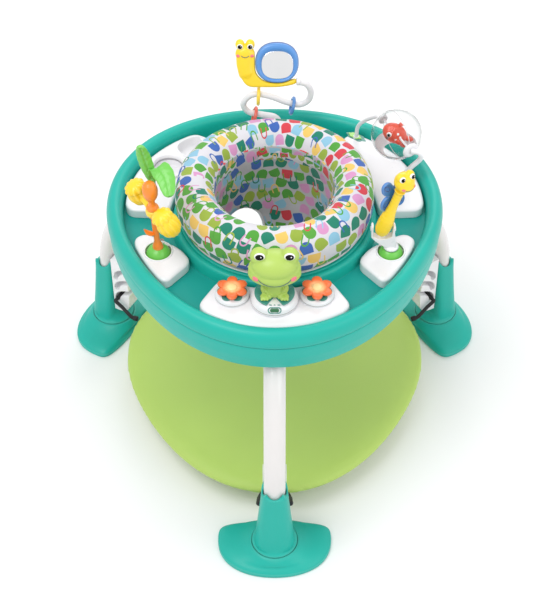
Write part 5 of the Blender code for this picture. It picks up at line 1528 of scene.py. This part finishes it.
def build_globe():
    shell = piece("globe_shell", ball(GLOBE_AT, (GLOBE_R,) * 3, 96, 56), CLEAR, "globe_ball", ["globe"],
                  "clear", crisp=False)
    thicken(shell, 0.0013)
    # A thin ring where its two halves meet, across its axis
    other = GLOBE_AXIS.cross(UP).normalized()
    piece("globe_seam", torus(GLOBE_AT, other, GLOBE_R - 0.0006, 0.0007, steps=120), WHITE_SOFT,
          "globe_ball", slot="clear", crisp=False)
    # A white band in the lower part, with dots and small rings on it
    band = [(math.cos(a), math.sin(a)) for a in (math.radians(-60 + 30 * k / 12) for k in range(13))]
    r = GLOBE_R - 0.0022
    inside = r - 0.0006
    profile = [(c * r, s * r) for c, s in band] + [(c * inside, s * inside) for c, s in reversed(band)]
    piece("globe_band", turned(GLOBE_AT, profile, 96, closed=True), WHITE_SOFT, "globe_ball",
          slot="white_plastic")
    dots, loops = bmesh.new(), bmesh.new()
    for k in range(12):
        a, low_angle = TURN * k / 12, math.radians(-41 if k % 2 else -47)
        way = Vector((math.cos(a) * math.cos(low_angle), math.sin(a) * math.cos(low_angle),
                      math.sin(low_angle)))
        if k % 2:
            spot(GLOBE_AT + way * (r + 0.0001), way, 0.0030, 0.0030, 0.0006, dots)
        else:
            torus(GLOBE_AT + way * (r + 0.0001), way, 0.0034, 0.0007, loops, 32)
    piece("globe_dots", dots, RED, "globe_ball", slot="red", crisp=False)
    piece("globe_loops", loops, SHELL_BLUE, "globe_ball", slot="blue", crisp=False)
    # The fish on its rod: it looks up to the left, its tail low on the right
    lean = Matrix.Rotation(math.radians(42), 3, "Y")
    body_half = (0.0245, 0.0150, 0.0190)
    body_at = GLOBE_AT + Vector((-0.0035, 0, 0.0030))
    bm = ball(body_at, body_half, 56, 32, lean)
    for turn, reach in ((24, 0.0300), (62, 0.0300)):
        way = Vector((math.cos(math.radians(turn)), 0, -math.sin(math.radians(turn))))
        ball(GLOBE_AT + way * reach * 0.82, (0.0100, 0.0042, 0.0058), 32, 18,
             Matrix.Rotation(math.radians(turn), 3, "Y"), bm)
    ball(GLOBE_AT + Vector((0.0030, -0.0150, -0.0060)), (0.0075, 0.0030, 0.0050), 28, 16, lean, bm)
    swept([GLOBE_AT + Vector((x, 0, z)) for x, z in ((0.000, 0.0200), (0.006, 0.0240), (0.013, 0.0205))],
          0.0045, 20, taper=round_ends(0.35), bm=bm)
    blob("fish", bm, RED, "globe_ball", 0.0011, 5, replaces=["globe_fish"], slot="red")
    piece("fish_rod", swept([GLOBE_AT - GLOBE_AXIS * 0.0440, GLOBE_AT + GLOBE_AXIS * 0.0440], 0.0022, 24),
          WHITE_SOFT, "globe_ball", slot="white_plastic")

    def on_fish(way):
        at, normal = on_ball(Vector(), body_half, lean.inverted() @ Vector(way))
        return body_at + lean @ at, lean @ normal

    at, normal = on_fish((-0.60, -0.70, 0.40))
    eye("fish_eye", at - normal * 0.0052, 0.0080, normal, "globe_ball")
    bm = bmesh.new()
    for way in ((0.30, -0.80, 0.50), (0.55, -0.80, 0.05), (0.10, -0.90, -0.22)):
        at, normal = on_fish(way)
        spot(at + normal * 0.0002, normal, 0.0024, 0.0024, 0.0008, bm)
    piece("fish_dots", bm, EYE_WHITE, "globe_ball", slot="white_plastic", crisp=False)
    at, normal = on_fish((-0.80, -0.60, -0.10))
    piece("fish_mouth", torus(at, normal, 0.0022, 0.0007, steps=32), DARK, "globe_ball", crisp=False)
    # The arms
    right = [(0.2600, 0.0655, 0.5730), (0.2630, 0.0690, 0.557), (0.2490, 0.0745, 0.533),
             (0.2405, 0.0840, 0.510), (0.2390, 0.0870, 0.496), (0.2388, 0.0873, 0.4865)]
    left = [(0.1870, 0.1760, 0.566), (0.1700, 0.1980, 0.540), (0.1575, 0.2110, 0.514),
            (0.1550, 0.2125, 0.4890)]
    for label, side, disc, bar, points in (("right", 1, 0.0150, 0.0048, right),
                                           ("left", -1, 0.0095, 0.0037, left)):
        axis = GLOBE_AXIS * side
        cap = [(0.0052, 0.0440), (0.0056, 0.0466), (disc * 0.94, 0.0476), (disc, 0.0484), (disc, 0.0500),
               (disc * 0.94, 0.0512), (disc * 0.72, 0.0528), (disc * 0.66, 0.0526), (disc * 0.30, 0.0532),
               (0.0008, 0.0534)]
        bm = turned(GLOBE_AT, cap, 64, axis)
        path = curve_through([GLOBE_AT + axis * 0.0510, *points], 10)
        swept(path, bar, 28, taper=lambda t: 1.0 + 0.25 * max(0.0, 1 - t / 0.12), bm=bm)
        turned(Vector(points[-1]).xy.to_3d() + UP * TILE_TOP, [(bar * 1.9, -0.0015), (bar * 1.9, 0.0008),
                                                               (bar * 1.7, 0.0018), (bar * 1.2, 0.0030)],
               40, bm=bm)
        piece(f"globe_bracket_{label}", bm, WHITE if side > 0 else WHITE_SOFT, "frame",
              [f"globe_arm_{label}"], "white_plastic")
    # Two leaves at the left arm's foot
    at = Vector((0.1550, 0.2125, TILE_TOP + 0.0002))
    along = Vector((-at.y, at.x, 0)).normalized()
    out = Vector((at.x, at.y, 0)).normalized()
    for label, material, slot, grow, lift, shift in (("dark", DARK_TEAL, "dark_teal", 1.0, 0.0, 0.0),
                                                     ("light", LIME_LEAF, "leaf_green", 0.66, 0.0022,
                                                      0.0030)):
        plan = [Vector((math.cos(a) * 0.0205, math.sin(a) * 0.0098)) * grow * (1 + 0.10 * math.cos(6 * a))
                for a in (TURN * i / 96 for i in range(96))]
        place = plane(at + UP * lift + along * shift, along, out)
        bm = slab(plan, place, [(0.0004, 0), (0.0, 0.0006), (0.0, 0.0014), (0.0006, 0.0021),
                                (0.0020, 0.0026), (0.0045, 0.0028)])
        piece(f"globe_leaf_{label}", bm, material, "frame", ["globe_leaf"] if label == "dark" else (), slot)


# ------------------------------------------------------------------ the loop with rings, and the snail

LOOP_Y, LOOP_R = 0.235, 0.0058
SNAIL_AT = Vector((0, 0.235, 0.5921))
SNAIL_TILT = math.radians(25)


def build_loop():
    points = [(0.010, 0.4850), (0.0095, 0.502), (0.000, 0.5175), (-0.024, 0.5235), (-0.0480, 0.5295),
              (-0.0590, 0.5480), (-0.0480, 0.5670), (-0.0300, 0.5725), (-0.0040, 0.5655), (0.0220, 0.5535),
              (0.0460, 0.5475), (0.0635, 0.5585), (0.0675, 0.5790), (0.0590, 0.5960), (0.0440, 0.6015)]
    path = curve_through([Vector((x, LOOP_Y, z)) for x, z in points], 10)
    bm = swept(path, LOOP_R, 28)
    turned(Vector((0.010, LOOP_Y, TILE_TOP)), [(0.0125, -0.002), (0.0125, 0.0012), (0.0112, 0.0026),
                                               (0.0075, 0.0048), (0.0060, 0.0080)], 48, bm=bm)
    turned(path[-1] - Vector((0.0035, 0, -0.0007)), [(0.0062, 0), (0.0074, 0.0010), (0.0074, 0.0070),
                                                     (0.0062, 0.0080)], 40, (1, 0, 0), bm=bm)
    piece("loop_wire", bm, WHITE_SOFT, "frame", ["loop_tube"], "tube_white")
    for name, material, at, along in (("red", RED, (-0.0368, 0.5257), (-0.9701, 0.2425)),
                                      ("yellow", YELLOW, (-0.0300, 0.5725), (0.9984, -0.0570)),
                                      ("blue", BLUE, (0.0345, 0.5491), (0.9701, -0.2425))):
        axis = Vector((along[0], 0, along[1]))
        down = Vector((along[1], 0, -along[0]))
        if down.z > 0:
            down.negate()
        centre = Vector((at[0], LOOP_Y, at[1])) + down * 0.0050
        bm = torus(centre, axis, 0.0149, 0.0031)
        section = [(0.0149 + 0.0034 * math.cos(TURN * k / 12), 0.0010 * math.sin(TURN * k / 12))
                   for k in range(12)]
        turned(centre, section, 64, axis, closed=True, bm=bm)
        piece(f"{name}_loop_ring", bm, material, f"{name}_ring", [f"ring_{name}"], name, crisp=False)


def build_snail():
    up = Vector((0, math.sin(SNAIL_TILT), math.cos(SNAIL_TILT)))
    face = Vector((0, -math.cos(SNAIL_TILT), math.sin(SNAIL_TILT)))
    place = plane(SNAIL_AT, (1, 0, 0), up)  # its heights run along the face's normal

    def at(x, y, h=0.0):
        return SNAIL_AT + Vector((x, 0, 0)) + up * y + face * h

    turn = Matrix(((1, 0, 0), tuple(face), tuple(up))).transposed()
    plan = soften([(-0.0530, -0.0024), (0.0100, -0.0024), (0.0412, 0.0036), (0.0412, 0.0136),
                   (0.0310, 0.0124), (0.0200, 0.0079), (0.0044, 0.0052), (-0.0150, 0.0079),
                   (-0.0262, 0.0134), (-0.0362, 0.0260), (-0.0362, 0.0700), (-0.0710, 0.0700),
                   (-0.0710, 0.0330)], 0.014, steps=6)
    bm = slab(plan, place, rounded_profile(0.0068, 0.0042))
    swept(curve_through([at(-0.0440, 0.010), at(-0.0510, 0.024), at(-0.0540, 0.040), at(-0.0545, 0.058)],
                        8), 0.0160, 32, flat=0.60, wide=Vector((1, 0, 0)), bm=bm,
          taper=lambda t: 0.55 + 0.45 * min(1.0, t / 0.3))
    ball(at(-0.0545, 0.0600), (0.0182, 0.0098, 0.0170), 48, 28, turn, bm)
    for x in (-0.0640, -0.0450):
        ball(at(x, 0.0775), (0.0086, 0.0078, 0.0100), 36, 20, turn, bm)
    turned(at(0.0400, 0.0086, 0), [(0.0040, -0.003), (0.0040, 0.003)], 24, (1, 0, 0), bm=bm)
    blob("snail_figure", bm, YELLOW, "snail", 0.0010, 4, replaces=["snail_body"], slot="yellow")
    for x, label in ((-0.0640, "left"), (-0.0450, "right")):
        eye(f"snail_eye_{label}", at(x, 0.0745, 0.0010), 0.0094, face, "snail", 0.9, 0.46)
    for x, label in ((-0.0675, "left"), (-0.0415, "right")):
        piece(f"snail_cheek_{label}", spot(at(x, 0.0575, 0.0074), face + Vector(((x + 0.0545) * 22, 0, 0)),
                                           0.0036, 0.0028, 0.0008), PINK, "snail", crisp=False)
    line = [at(-0.0545 + 0.0085 * t, 0.0548 + 0.0042 * t * t, 0.0101 - 0.0022 * t * t) for t in spread(14)]
    paint_line("snail_mouth", line, 0.0007, "snail", 0.1)
    # The shell: a thick rounded hoop round the mirror
    shell = oval(0.0396, 0.0372, 96, 0.88, (0.0044, 0.0440))
    hollow = oval(0.0296, 0.0262, 96, 0.80, (0.0052, 0.0402))
    ring = [(0.05, -0.0080), (0.0, -0.0060), (0.0, 0.0050), (0.10, 0.0078), (0.30, 0.0092), (0.55, 0.0094),
            (0.80, 0.0084), (0.97, 0.0062), (1.0, 0.0046), (1.0, -0.0060), (0.90, -0.0080)]
    bm = skin([[place(p.lerp(q, share), h) for p, q in zip(shell, hollow)] for share, h in ring],
              closed=True)
    piece("snail_hoop", bm, SHELL_BLUE, "snail", ["snail_shell"], "blue")
    edge = [(-0.0002, -0.0036), (-0.0007, -0.0028), (-0.0007, 0.0028), (-0.0002, 0.0036), (0.0010, 0.0036),
            (0.0010, -0.0036)]
    bm = skin([[place(p, h) for p in inset(shell, d)] for d, h in edge], closed=True)
    piece("snail_hoop_band", bm, BLUE_DARK, "snail", slot="blue")
    pane = oval(0.0300, 0.0266, 72, 0.80, (0.0052, 0.0402))
    bm = slab(pane, place, [(0.0002, 0.0050), (0.0, 0.0056), (0.0004, 0.0066), (0.0012, 0.0069),
                            (0.0020, 0.0069)])
    piece("snail_pane", bm, MIRROR, "snail", ["snail_mirror"], "mirror")


# ------------------------------------------------------------------ inside parts, and everything together


def rectangle(low_corner, high_corner):
    return [(low_corner.x, low_corner.y), (high_corner.x, low_corner.y), (high_corner.x, high_corner.y),
            (low_corner.x, high_corner.y)]


def build_inside():
    a = math.radians(BOW_ANGLE)
    r, z = TUBE_R - BOW_R + BOW_R * math.cos(a), BOW_Z + BOW_R * math.sin(a)
    run = 0.58 * (TUBE_TOP_Z - z) / math.cos(a)  # how far up the straight end of the tube the bolt sits
    head = [(0.0030, 0.0160), (0.0052, 0.0214), (0.0056, 0.0220), (0.0056, 0.0240), (0.0048, 0.0252),
            (0.0030, 0.0254), (0.0028, 0.0236), (0.0004, 0.0236)]
    for side, azimuth in LEGS.items():
        at = local(azimuth, r - run * math.sin(a), 0, z + run * math.cos(a))
        piece(f"bolt_head_{side}", turned(at, head, 36, local(azimuth, -math.cos(a), 0, -math.sin(a))),
              STEEL, "frame", [f"leg_bolt_{side}"], "steel")

    def lying(p, h):
        return Vector((p[0], p[1], h))

    corner, far = low("circuit_board"), high("circuit_board")
    bm = slab(rectangle(corner, far), lying, [(0, corner.z), (0, corner.z + 0.0016)])
    piece("board_plate", bm, BOARD, "frame", ["circuit_board"], "board")
    bm = bmesh.new()
    for dx, dy, w, d in ((-0.014, 0.002, 0.006, 0.006), (0.004, -0.003, 0.008, 0.004),
                         (0.018, 0.003, 0.003, 0.005)):
        chip, half = (corner + far) / 2 + Vector((dx, dy, 0)), Vector((w, d, 0))
        slab(rectangle(chip - half, chip + half), lying,
             [(0, corner.z + 0.0014), (0, corner.z + 0.0030), (0.0003, corner.z + 0.0032)], bm=bm)
    piece("board_chips", bm, BLACK, "frame", slot="black")
    corner, far = low("speaker"), high("speaker")
    r, t = (far.x - corner.x) / 2, far.z - corner.z
    cone = [(0.45, 0), (0.45, 0.35), (0.70, 0.60), (0.97, 0.70), (1, 0.78), (1, 0.96), (0.95, 1),
            (0.86, 0.96), (0.60, 0.80), (0.30, 0.76), (0.20, 0.86), (0.02, 0.90)]
    centre = ((corner + far) / 2).xy.to_3d() + UP * corner.z
    piece("speaker_cone", turned(centre, [(r * x, t * y) for x, y in cone], 64), BLACK, "frame",
          ["speaker"], "black")


build_stage()
build_tray()
build_seat()
build_legs()
build_tiles()
build_console()
build_stalk()
build_dragonfly()
build_globe()
build_loop()
build_snail()
build_inside()
